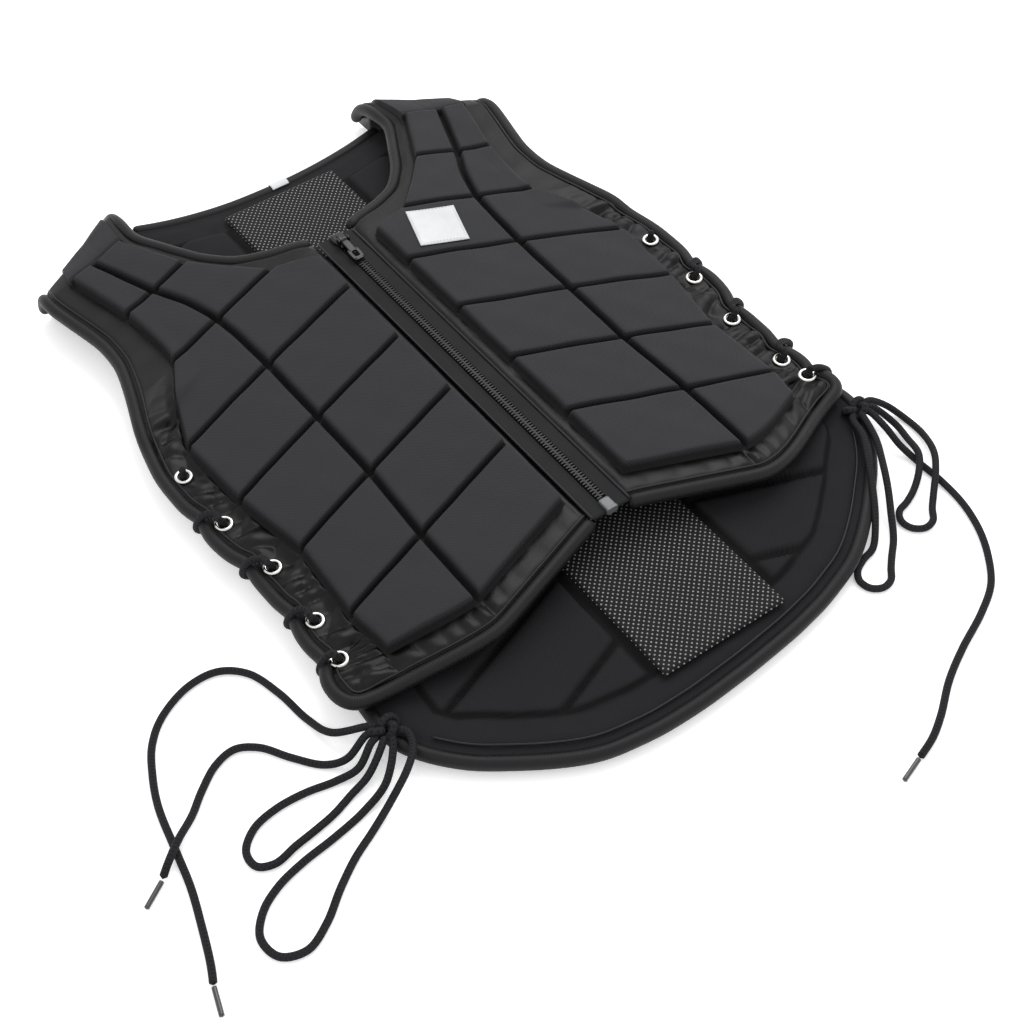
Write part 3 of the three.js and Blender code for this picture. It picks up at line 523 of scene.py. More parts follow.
@dataclass(frozen=True)
class Finish:
    """One finish of the piece, from its real material. Sizes are in millimetres."""

    name: str
    pattern: Pattern
    light: str
    dark: str
    roughness: float
    pitch: float
    depth: float
    metallic: float = 0.0
    ior: float = 1.5
    sheen: float = 0.0
    coat: float = 0.0
    gloss: float = 0.5
    # whether the colour is darkened by the painted shade stored on the piece
    takes_painted_shade: bool = False

    def _pattern(self, tree: bpy.types.NodeTree) -> object:
        """Height of the pattern from 0 to 1, as an output."""
        coords = add_node(tree, "ShaderNodeTexCoord", {}, {}, {})
        if self.pattern in (Pattern.RIB, Pattern.BRAID):
            parts = add_node(tree, "ShaderNodeSeparateXYZ", {}, {}, {0: coords.outputs["UV"]})
        else:
            parts = add_node(tree, "ShaderNodeSeparateXYZ", {}, {}, {0: coords.outputs["Object"]})
        x, y = parts.outputs[0], parts.outputs[1]
        per_metre = 1.0 / (self.pitch * MM)
        if self.pattern is Pattern.RIB:
            wave = turns(tree, x, y, per_metre, 0.0)
        elif self.pattern is Pattern.BRAID:
            one = turns(tree, x, y, per_metre, 2.0)
            other = turns(tree, x, y, per_metre, -2.0)
            wave = add_node(tree, "ShaderNodeMath", {"operation": "MAXIMUM"}, {}, {0: one, 1: other}).outputs[0]
        elif self.pattern in (Pattern.WEAVE, Pattern.STITCHED):
            one = turns(tree, x, y, per_metre, 0.0)
            other = turns(tree, y, x, per_metre, 0.0)
            wave = add_node(tree, "ShaderNodeMath", {"operation": "MULTIPLY"}, {}, {0: one, 1: other}).outputs[0]
        elif self.pattern is Pattern.DOTS:
            turned = add_node(
                tree, "ShaderNodeMapping", {}, {"Rotation": (0.0, 0.0, math.radians(45.0))},
                {"Vector": coords.outputs["Object"]},
            )
            cells = add_node(
                tree, "ShaderNodeTexVoronoi", {"voronoi_dimensions": "2D"},
                {"Scale": per_metre, "Randomness": 0.0}, {"Vector": turned.outputs[0]},
            )
            return add_node(
                tree, "ShaderNodeMapRange", {"interpolation_type": "SMOOTHSTEP"},
                {"From Min": 0.25, "From Max": 0.13, "To Min": 0.0, "To Max": 1.0},
                {"Value": cells.outputs["Distance"]},
            ).outputs[0]
        else:
            return add_node(
                tree, "ShaderNodeTexNoise", {}, {"Scale": per_metre, "Detail": 3.0},
                {"Vector": coords.outputs["Object"]},
            ).outputs[0]
        return add_node(
            tree, "ShaderNodeMapRange", {}, {"From Min": -1.0, "From Max": 1.0}, {"Value": wave}
        ).outputs[0]

    def material(self) -> bpy.types.Material:
        """Builds the material: the pattern mixes its two colours and gives its relief, and a wide soft noise
        varies the colour and the roughness as handling does. With painted shade on, the colour is darkened
        almost to black by the stored shade: painted shade in the grooves between foam blocks and at their feet."""
        material = bpy.data.materials.new(self.name)
        material.use_nodes = True
        tree = material.node_tree
        shader = tree.nodes["Principled BSDF"]
        height = self._pattern(tree)
        coords = add_node(tree, "ShaderNodeTexCoord", {}, {}, {})
        cloud = add_node(
            tree, "ShaderNodeTexNoise", {}, {"Scale": 18.0, "Detail": 4.0, "Roughness": 0.6},
            {"Vector": coords.outputs["Object"]},
        )
        base = add_node(
            tree, "ShaderNodeMix", {"data_type": "RGBA"}, {6: linear(self.dark), 7: linear(self.light)}, {0: height}
        )
        wear = add_node(
            tree, "ShaderNodeMapRange", {}, {"From Min": 0.3, "From Max": 0.7, "To Min": 0.86, "To Max": 1.12},
            {"Value": cloud.outputs[0]},
        )
        tint = add_node(
            tree, "ShaderNodeVectorMath", {"operation": "SCALE"}, {},
            {0: base.outputs[2], "Scale": wear.outputs[0]},
        )
        # Painted shade: the colour falls almost to black where the stored shade is low, in the grooves and at the
        # blocks' feet
        if self.takes_painted_shade:
            block = add_node(tree, "ShaderNodeAttribute", {"attribute_name": "painted_shade_level"}, {}, {})
            painted_darkening = add_node(
                tree, "ShaderNodeMapRange", {}, {"From Min": 0.45, "From Max": 0.97, "To Min": 0.12, "To Max": 1.0},
                {"Value": block.outputs["Fac"]},
            )
            tint = add_node(
                tree, "ShaderNodeVectorMath", {"operation": "SCALE"}, {},
                {0: tint.outputs[0], "Scale": painted_darkening.outputs[0]},
            )
        rough = add_node(
            tree, "ShaderNodeMapRange", {},
            {
                "From Min": 0.3,
                "From Max": 0.7,
                "To Min": max(0.05, self.roughness - 0.06),
                "To Max": min(1.0, self.roughness + 0.06),
            },
            {"Value": cloud.outputs[0]},
        )
        bump = add_node(
            tree, "ShaderNodeBump", {}, {"Strength": 1.0, "Distance": self.depth * MM}, {"Height": height}
        )
        tree.links.new(tint.outputs[0], shader.inputs["Base Color"])
        tree.links.new(rough.outputs[0], shader.inputs["Roughness"])
        tree.links.new(bump.outputs[0], shader.inputs["Normal"])
        shader.inputs["Metallic"].default_value = self.metallic
        shader.inputs["IOR"].default_value = self.ior
        shader.inputs["Sheen Weight"].default_value = self.sheen
        shader.inputs["Coat Weight"].default_value = self.coat
        shader.inputs["Specular IOR Level"].default_value = self.gloss
        return material


class Finishes:
    """All the materials, each made once."""

    def __init__(self) -> None:
        """Makes the materials."""
        # Woven polyester over foam: a dull charcoal with a faint grain; its 0.5 mm threads are drawn 1.8 mm apart.
        # Painted shade darkens it in the grooves and at the blocks' feet
        self.shell = Finish(
            "oxford_woven_polyester", Pattern.WEAVE, "#2b2b2f", "#1b1b1e", 0.8, 1.8, 0.16, ior=1.34, sheen=0.02,
            takes_painted_shade=True,
        ).material()
        # Satin-woven polyester, gathered at the edges: darker, with a silky gleam along its folds. Painted shadow
        # darkens it at the foot of the blocks
        self.satin = Finish(
            "gathered_satin_polyester", Pattern.GRAIN, "#0e0e10", "#060607", 0.36, 4.0, 0.12, ior=1.45, gloss=0.22,
            takes_painted_shade=True,
        ).material()
        # Ribbed grosgrain tape: fine cross ribs, drawn 1.5 mm apart, catch the light along rolled edges
        self.binding = Finish(
            "grosgrain_binding_tape", Pattern.RIB, "#18181a", "#0c0c0e", 0.5, 1.5, 0.12, ior=1.38, gloss=0.34
        ).material()
        # Twill tape of a zip: an even dark band, smoother than the shell
        self.tape = Finish(
            "twill_zip_tape", Pattern.WEAVE, "#18181a", "#0e0e10", 0.65, 1.3, 0.06, ior=1.36, gloss=0.3
        ).material()
        # Spacer mesh of knitted polyester: open pale pores in rows on dark grey, 3.2 mm apart
        self.mesh = Finish(
            "knitted_spacer_mesh", Pattern.DOTS, "#8e8e8c", "#0c0c0e", 0.75, 3.2, 0.25, ior=1.32
        ).material()
        # Knitted lining of the inside: duller and darker than the shell. Painted shade darkens it in the back's grooves
        self.lining = Finish(
            "knitted_lining", Pattern.WEAVE, "#1c1c1f", "#131315", 0.88, 2.2, 0.10, ior=1.34, gloss=0.4, takes_painted_shade=True
        ).material()
        # Moulded acetal of the teeth: black plastic with a soft gloss
        self.teeth = Finish(
            "moulded_acetal", Pattern.GRAIN, "#141416", "#0c0c0d", 0.4, 1.5, 0.02, ior=1.48, gloss=0.35
        ).material()
        # Die-cast zinc under black lacquer: a dark gloss
        self.lacquer = Finish(
            "black_lacquered_zinc", Pattern.GRAIN, "#121214", "#0b0b0c", 0.32, 2.5, 0.02, gloss=0.4
        ).material()
        # Moulded stop of grey nylon: smooth with a wide highlight
        self.stop = Finish(
            "moulded_grey_nylon", Pattern.GRAIN, "#56575b", "#46474b", 0.3, 2.0, 0.02, ior=1.53
        ).material()
        # Stamped brass under nickel plate: bright silver with fine scuffs
        self.nickel = Finish(
            "nickel_plated_brass", Pattern.GRAIN, "#e2e0dc", "#c2c0bc", 0.2, 2.0, 0.02, metallic=1.0
        ).material()
        # Round braid of polyester yarn: a fine crossing grain along the lace, drawn 2.6 mm long
        self.lace = Finish(
            "braided_polyester_lace", Pattern.BRAID, "#1e1e21", "#0c0c0e", 0.8, 2.6, 0.16, ior=1.36, gloss=0.35
        ).material()
        # Crimped tip of clear film over the braid: grey with a hard gloss
        self.aglet = Finish(
            "crimped_acetate_tip", Pattern.GRAIN, "#36373a", "#27282b", 0.28, 3.0, 0.05, coat=0.3
        ).material()
        # Woven label of white polyester satin: clean white with a fine thread grain
        self.label = Finish(
            "woven_white_label", Pattern.STITCHED, "#cfd0d1", "#bcbdbe", 0.6, 0.9, 0.04
        ).material()
        # Sewing thread: pale grey, twisted
        self.thread = Finish(
            "twisted_sewing_thread", Pattern.RIB, "#c4cbd4", "#9aa2ad", 0.6, 1.0, 0.05
        ).material()
        # Sewn piping: a thin corded edge with a satin gleam
        self.piping = Finish(
            "satin_piping", Pattern.RIB, "#1b1b1e", "#0e0e10", 0.42, 1.2, 0.06, ior=1.38, gloss=0.4
        ).material()


# The pattern of the panels, in millimetres


@dataclass
class FrontPattern:
    """Cut of a front half, the same as the CAD solid's: columns and rows of foam blocks."""

    half_width: float = 217.0
    row_pitch: float = 65.0
    row_slope: float = 0.31
    first_row_y: float = 178.5
    zip_edge: float = 15.1
    neck_reach: float = 109.0
    fold_inner_y: float = 322.0
    fold_outer_y: float = 268.0
    ridge_z: float = 57.0
    pad_rise: float = 9.0
    skin: float = 9.0
    shift: float = -8.0
    fold_row: float = -1.65
    last_row: float = 6.0
    hem_row: float = 6.277
    flap_top: float = 26.0
    flap_bottom: float = 20.0
    back_thickness: float = 18.0
    rows: tuple = (-1.65, -1, 0, 0.45, 0.8, 1, 1.4, 2, 3, 4, 5, 6, 6.4)
    edges: dict = field(
        default_factory=lambda: {
            "neck": (0.96, 0.98, 0.71, 0.53, 0.26, 0.03, 0, 0, 0, 0, 0, 0, 0),
            "pad_in": (1.02, 1.05, 0.8, 0.62, 0.47, 0.38, 0.02, 0.02, 0.02, 0.02, 0.02, 0.02, 0.02),
            "groove": (0.7, 0.732, 0.632, 0.575, 0.545, 0.53, 0.518, 0.507, 0.502, 0.498, 0.512, 0.512, 0.512),
            "pad_out": (0.811, 0.834, 0.765, 0.748, 0.74, 0.747, 0.82, 0.89, 0.87, 0.82, 0.834, 0.816, 0.816),
            "side": (0.905, 0.918, 0.855, 0.855, 0.885, 0.905, 0.95, 0.985, 0.98, 0.942, 0.956, 0.985, 0.98),
        }
    )

    def edge_x(self, edge: str, row: Grid) -> Grid:
        """Where an edge of the columns lies at a row."""
        share = soft_lookup(row, self.rows, self.edges[edge], 0.1)
        if edge in ("neck", "pad_in"):
            return self.zip_edge + self.neck_reach * share
        return self.half_width * share

    def row_y(self, row: Grid, x: Grid, lift: float) -> Grid:
        """Height on the pattern of a row at x: rows fall outward by the slope, the last ones only up to the
        groove, and the hem's corner is turned up by lift."""
        groove = self.half_width * np.interp(row, self.rows, self.edges["groove"])
        outer = self.row_slope * (1.0 - smoothstep(row, self.last_row - 1, self.last_row))
        plain = self.first_row_y - self.row_pitch * (row - 1)
        plain = plain - np.minimum(x, groove) * self.row_slope - np.maximum(0.0, x - groove) * outer
        t = np.clip((x - groove) / (self.half_width - groove), 0.0, 1.0)
        plain = plain + lift * smoothstep(row, self.last_row - 1.4, self.hem_row) * t * t * (3 - 2 * t)
        top = self.first_row_y + self.row_pitch * 2 - self.row_slope * x
        inner = self.zip_edge + self.neck_reach
        outer_x = self.half_width * self.edges["side"][0]
        fold = self.fold_inner_y + (self.fold_outer_y - self.fold_inner_y) * (x - inner) / (outer_x - inner)
        over = (-1.0 - row) / (-1.0 - self.fold_row)
        return np.where(row >= -1.0, plain, top + (fold - top) * over)

    def crown(self, x: Grid) -> Grid:
        """Height of the block tops over the front's width."""
        return self.ridge_z * soft_lookup(
            np.abs(x) / self.half_width, (0, 0.1, 0.5, 0.7, 0.85, 1), (1, 1, 0.84, 0.74, 0.64, 0.6), 0.05
        )


@dataclass
class BackPattern:
    """Cut of the back, the same as the CAD solid's."""

    half_width: float = 209.0
    thickness: float = 18.0
    tail_corner_y: float = -195.0
    tail_depth: float = 302.0
    tail_skew: float = 20.0
    neck_y: float = 280.0
    neck_corner: float = 119.7
    shoulder_row: float = -1.36
    side_along: tuple = (0, 0.13, 0.27, 0.42, 0.52, 0.65, 0.76, 0.86, 0.94, 1)
    side_across: tuple = (1, 0.985, 0.96, 0.985, 1, 0.945, 0.88, 0.86, 0.9, 0.935)
    tail_across: tuple = (0, 0.2, 0.35, 0.52, 0.6, 0.7, 0.86, 0.95, 1)
    tail_down: tuple = (1, 0.99, 0.96, 0.88, 0.8, 0.67, 0.42, 0.2, 0)

    def bottom_y(self, x: Grid) -> Grid:
        """Lower edge of the tail at x."""
        down = soft_lookup(np.abs(x) / self.half_width, self.tail_across, self.tail_down, 0.03)
        drop = self.tail_depth + self.tail_corner_y
        return self.tail_corner_y - drop * down + self.tail_skew * x / self.half_width

    def top_y(self, x: Grid, front: FrontPattern) -> Grid:
        """Upper edge at x: the neckline's curve, then the shoulder's end."""
        end = front.row_y(np.full_like(x, self.shoulder_row), np.abs(x - front.shift), 0.0)
        corner_x = np.sign(x) * self.neck_corner
        corner = front.row_y(np.full_like(x, self.shoulder_row), np.abs(corner_x - front.shift), 0.0)
        share = (np.minimum(np.abs(x), self.neck_corner) / self.neck_corner) ** 2.2
        return np.where(np.abs(x) >= self.neck_corner, end, self.neck_y + (corner - self.neck_y) * share)

    def points(self, along: Grid, across: Grid, front: FrontPattern) -> tuple:
        """X and Y of the panel at shares along and across it."""
        width = soft_lookup(along, self.side_along, self.side_across, 0.04)
        x = across * self.half_width * width
        low, high = self.bottom_y(x), self.top_y(x, front)
        return x, low + (high - low) * along


# Sub-assemblies


def stations(count: int, fine: tuple = (0.012, 0.026, 0.045)) -> Grid:
    """Shares from 0 to just under 1: even steps, with more of them close to both ends."""
    even = np.arange(count) / count
    return np.unique(np.concatenate([even, fine, 1.0 - np.asarray(fine)]))


@dataclass
class FrontHalf:
    """One front half: foam blocks under cloth, a gathered border and a rolled binding."""

    side: Side
    lift: float
    pattern: FrontPattern
    groove_half: float = 1.1
    column_half: float = 1.7
    wall_radius: float = 2.6
    gather_pitch: float = 15.0
    gather_rise: float = 3.2
    pinch: float = FRONT_PINCH
    crossings: Grid = None
    zip_border: float = 8.0
    band_rise: float = 0.62
    row_width: float = 62.0  # across a row, square to its grooves
    strap_row_width: float = 50.0  # the same for the strap past the last blocks
    bulge_rise: float = 0.7
    uneven_size: float = 55.0
    hem_pitch: float = 15.0
    hem_rise: float = 1.5
    edge_taper: float = 0.62  # thickness at the very rim, as a share
    binding_radius: float = 4.9
    binding_offset: float = 3.6
    top: Grid = None
    bottom: Grid = None
    row_list: Grid = None
    shade: Grid = None

    def _stations(self) -> tuple:
        """Rows of the grid, and for each column the edges it lies between and its share."""
        p = self.pattern
        shoulder = p.fold_row + (-1.0 - p.fold_row) * np.linspace(0, 1, 30)[:-1] ** 1.5
        rows = np.concatenate([row + stations(40) for row in range(-1, 6)])
        hem = np.linspace(p.last_row, p.hem_row, 9)
        columns = []
        for pair, count in (
            (("neck", "pad_in"), 7), (("pad_in", "groove"), 30), (("groove", "pad_out"), 24), (("pad_out", "side"), 16),
        ):
            fine = () if pair[0] == "neck" else (0.012, 0.026, 0.05)
            columns += [(pair, share) for share in stations(count, fine)]
        columns.append((("pad_out", "side"), 1.0))
        return np.concatenate([shoulder, rows, hem]), columns

    def _edge_x(self, edge: str, row: Grid) -> Grid:
        """Where an edge of the columns lies: the blocks stop short of the zip by the zip's border."""
        x = self.pattern.edge_x(edge, row)
        return np.maximum(x, self.pattern.zip_edge + self.zip_border) if edge == "pad_in" else x

    def shape(self) -> None:
        """Works out both faces of the panel.

        The upper face is the crown less the block's rise, plus that rise times three rounded walls: towards
        the row's groove, the column's inner edge and its outer edge. A block's top bulges a little towards
        its middle. The border outside the blocks falls to the thin edge, is drawn in where the lace crosses
        it, and carries creases along the side and in the hem.
        """
        p = self.pattern
        rows, columns = self._stations()
        row = np.repeat(rows[:, None], len(columns), axis=1)
        share = np.array([c[1] for c in columns])[None, :]
        inner = np.stack([self._edge_x(c[0][0], rows) for c in columns], axis=1)
        outer = np.stack([self._edge_x(c[0][1], rows) for c in columns], axis=1)
        pinched = drawn_in(p.row_y(rows, p.edge_x("side", rows), self.lift), self.crossings, self.pinch)[:, None]
        x = inner + (outer - inner) * share
        is_border = np.array([c[0][0] == "pad_out" for c in columns])[None, :]
        x = x - pinched * np.where(is_border, share, 0.0) ** 1.5
        y = p.row_y(row, x, self.lift)
        is_pad = np.array([c[0][0] in ("pad_in", "groove") for c in columns])[None, :]
        to_row = np.abs(row - np.round(row)) * self.row_width
        to_row = np.where(row < -1.0, (-1.0 - row) * self.strap_row_width, to_row)
        walls = rounded_wall(to_row, self.groove_half, self.wall_radius)
        walls = walls * rounded_wall((outer - inner) * share, self.column_half, self.wall_radius)
        walls = walls * rounded_wall((outer - inner) * (1 - share), self.column_half, self.wall_radius)
        band = self.band_rise * smoothstep(-row, 0.94, 0.99)
        walls = np.where(row < -1.0, band, np.maximum(walls, band))
        walls = np.where(is_pad & (row < p.last_row), walls, 0.0)
        shoulder = smoothstep(-1.0 - row, 0.0, -1.0 - p.fold_row)
        within = (row - np.floor(row)) * 2 - 1
        bulge = (1 - within**2) * (1 - (2 * share - 1) ** 2) * self.bulge_rise
        crown = p.crown(x)
        top = crown - p.pad_rise + walls * (p.pad_rise * (1 - 0.5 * shoulder) + bulge) - shoulder * 4.0
        uneven = ripple(x * self.side.value, y, self.uneven_size, 1.7 + self.side.value) * 0.5
        top = top + uneven * np.where(is_pad, walls, 0.6)
        bottom = crown - p.pad_rise - p.skin
        thin = np.clip((row - 1.0) * 2.0, 0.0, 1.0) * np.where(is_border, smoothstep(share, 0.0, 0.3), 0.0)
        top = top + (p.flap_top - top) * thin
        bottom = bottom + (p.flap_bottom - bottom) * thin
        floor = p.back_thickness + 6.5 - 5.9 * smoothstep(row, 1.4, 1.6)
        floor = np.where(is_border & (row > 1.5), np.maximum(floor, p.flap_bottom * thin), floor)
        raised = np.maximum(bottom, floor)
        top = top + raised - bottom
        bottom = raised
        phase = math.pi * row * p.row_pitch / self.gather_pitch
        waves = self._creases(phase + 1.3 * np.sin(row * 4.3) + 2.6 * share)
        waves = waves + 0.7 * self._creases(phase * 0.43 - 1.9 * share + 0.8)
        pulled = np.cos(2.0 * math.pi * (row - EYELET_FIRST_ROW) / EYELET_ROW_STEP)
        gathered = np.where(is_border, np.sin(math.pi * np.clip(share, 0, 1)) ** 0.7, 0.0) * self.gather_rise
        gathered = gathered * smoothstep(row, 0.9, 1.7)
        in_hem = np.where(row > p.last_row, np.sin(math.pi * (row - p.last_row) / (p.hem_row - p.last_row)), 0.0)
        hem_phase = x * math.pi / self.hem_pitch + 1.5 * np.sin(x / 19.0) + (row - p.last_row) * 2.0
        calm = 1.0 - self._near_eyelets(x, y)
        gather = 0.25 + 1.2 * np.exp(-(((x - p.edge_x("groove", rows)[:, None]) / 13.0) ** 2))
        gather = gather + 1.1 * np.exp(-(((x - p.edge_x("pad_out", rows)[:, None]) / 30.0) ** 2))
        folds = (waves * 0.55 - 0.6 * pulled) * gathered
        folds = folds + in_hem * self._creases(hem_phase) * gather * self.hem_rise
        top = top + folds * calm - (1.0 - calm) * 0.5
        to_side = p.edge_x("side", rows)[:, None] - pinched - x
        to_edge = np.minimum(to_side, x - p.edge_x("neck", rows)[:, None])
        to_edge = np.minimum(to_edge, (p.hem_row - row) * p.row_pitch)
        taper = self.edge_taper + 0.38 * smoothstep(to_edge, 0.0, 5.0)
        middle = (top + bottom) / 2
        top, bottom = middle + (top - middle) * taper, middle + (bottom - middle) * taper
        turn = np.clip((p.fold_row + 0.24 - row) / 0.24, 0.0, 1.0)
        top = 3.5 + (top - 3.5) * np.sqrt(1.0 - turn**2)
        bottom = bottom + (3.0 - bottom) * smoothstep(-row, -(p.fold_row + 0.26), -(p.fold_row + 0.19))
        world_x = self.side.value * x + p.shift
        self.row_list = rows
        # Painted shade for the colour: the block walls darken the grooves, and a painted shadow darkens a strip at the
        # foot of the blocks on the border, the hem and the shoulder band.
        to_pad = np.where(is_border, (outer - inner) * share, (outer - inner) * (1.0 - share))
        to_pad = np.where(row >= p.last_row, (row - p.last_row) * p.row_pitch, to_pad)
        painted_foot_shade = 0.4 + 0.6 * smoothstep(to_pad, 0.5, 8.0)
        painted_foot_shade = np.where(row < -1.0, 0.4 + 0.6 * smoothstep((-1.0 - row) * p.row_pitch, 0.5, 5.0), painted_foot_shade)
        self.shade = np.where(is_pad & (row < p.last_row) & (row >= -1.0), walls, painted_foot_shade)
        self.top = np.stack([world_x, y, top], axis=-1)
        self.bottom = np.stack([world_x, y, np.minimum(bottom, top - 0.4)], axis=-1)

    def _near_eyelets(self, x: Grid, y: Grid) -> Grid:
        """One at an eyelet, falling off as a bell curve of 8 mm: cloth lies flat where metal grips it."""
        row = EYELET_FIRST_ROW + EYELET_ROW_STEP * np.arange(5)
        at_x = self.pattern.half_width * np.interp(row, self.pattern.rows, self.pattern.edges["side"])
        at_x = at_x - EYELET_INSET
        at_y = self.pattern.row_y(row, at_x, self.lift)
        apart = (x[..., None] - at_x) ** 2 + (y[..., None] - at_y) ** 2
        return np.exp(-apart / (2.0 * BELL_WIDTH**2)).max(axis=-1)

    def _creases(self, phase: Grid) -> Grid:
        """Folds with round backs and sharp valleys: one less twice the size of a sine to the power 0.6, with
        its sign turned, so it runs from -1 in a valley to 1 on a back."""
        return 2.0 * np.abs(np.sin(phase)) ** 0.6 - 1.0

    def panel(self, finishes: Finishes) -> bpy.types.Object:
        """Makes the cloth-covered panel; its border is satin and its underside lining."""
        uv = self.top[..., :2] * MM
        shell = between(self.top, self.bottom, uv)
        piece = make_piece(f"front_half_{self.side.word}", shell, finishes.shell)
        piece.data.materials.append(finishes.satin)
        piece.data.materials.append(finishes.lining)
        # Painted shade on the upper face only; the underside gets none.
        store_painted_shade(piece, np.concatenate([self.shade.ravel(), np.ones(self.shade.size)]))
        _, columns = self._stations()
        border = np.array([c[0][0] in ("pad_out", "neck") for c in columns])[:-1]
        hem = self.row_list[:-1] >= self.pattern.last_row
        upper = (border[None, :] | hem[:, None]).astype(np.int32).ravel()
        index = np.concatenate([upper, np.full(len(upper), 2), np.full(len(shell.quads) - 2 * len(upper), 1)])
        piece.data.polygons.foreach_set("material_index", index.astype(np.int32))
        settle(piece, "vest", "shell_fabric", f"front_panel_{self.side.word}")
        return piece

    def _rim(self, rows: slice, cols: slice, outward: int) -> Grid:
        """Middle line of the panel's rim, moved outward in plan by the binding's offset."""
        middle = (self.top[rows, cols] + self.bottom[rows, cols]) / 2
        if not isinstance(cols, slice):
            fold = self.pattern.fold_row
            folded = smoothstep(-self.row_list[rows], -(fold + 0.34), -(fold + 0.2))
            held = np.maximum(self.top[rows, cols][:, 2] - 4.4, self.binding_radius + 0.2)
            middle[:, 2] += (held - middle[:, 2]) * folded
        return middle + beside(middle) * outward * self.binding_offset

    def bindings(self, finishes: Finishes) -> list:
        """Makes the neck's binding, and one that runs down the side and along the hem."""
        side = self.side.value
        start = 2
        at_zip = int(np.searchsorted(self.row_list, 1.05))
        neck = softened(resampled(self._rim(slice(start, at_zip), 0, side), 2.5), 12)
        outer = self._rim(slice(start, None), -1, -side)
        hem = self._rim(-1, slice(None, None, -1), -side)
        rim = softened(resampled(np.vstack([outer[:-3], hem[3:]]), 2.5), 14)
        made = []
        for word, path in (("neck", neck), ("front", rim)):
            shell = tube(path, self.binding_radius, 16)
            piece = make_piece(f"{word}_edge_{self.side.word}", shell, finishes.binding)
            made.append(settle(piece, "vest", "binding_fabric", f"{word}_binding_{self.side.word}"))
        seam = softened(resampled(np.vstack([self.top[start:-4, -6], self.top[-2, -6::-1]]), 2.5), 5)
        piece = make_piece(f"hem_piping_{self.side.word}", tube(seam + [0.0, 0.0, 0.35], 0.9, 8), finishes.piping)
        made.append(settle(piece, "vest", "binding_fabric"))
        return made


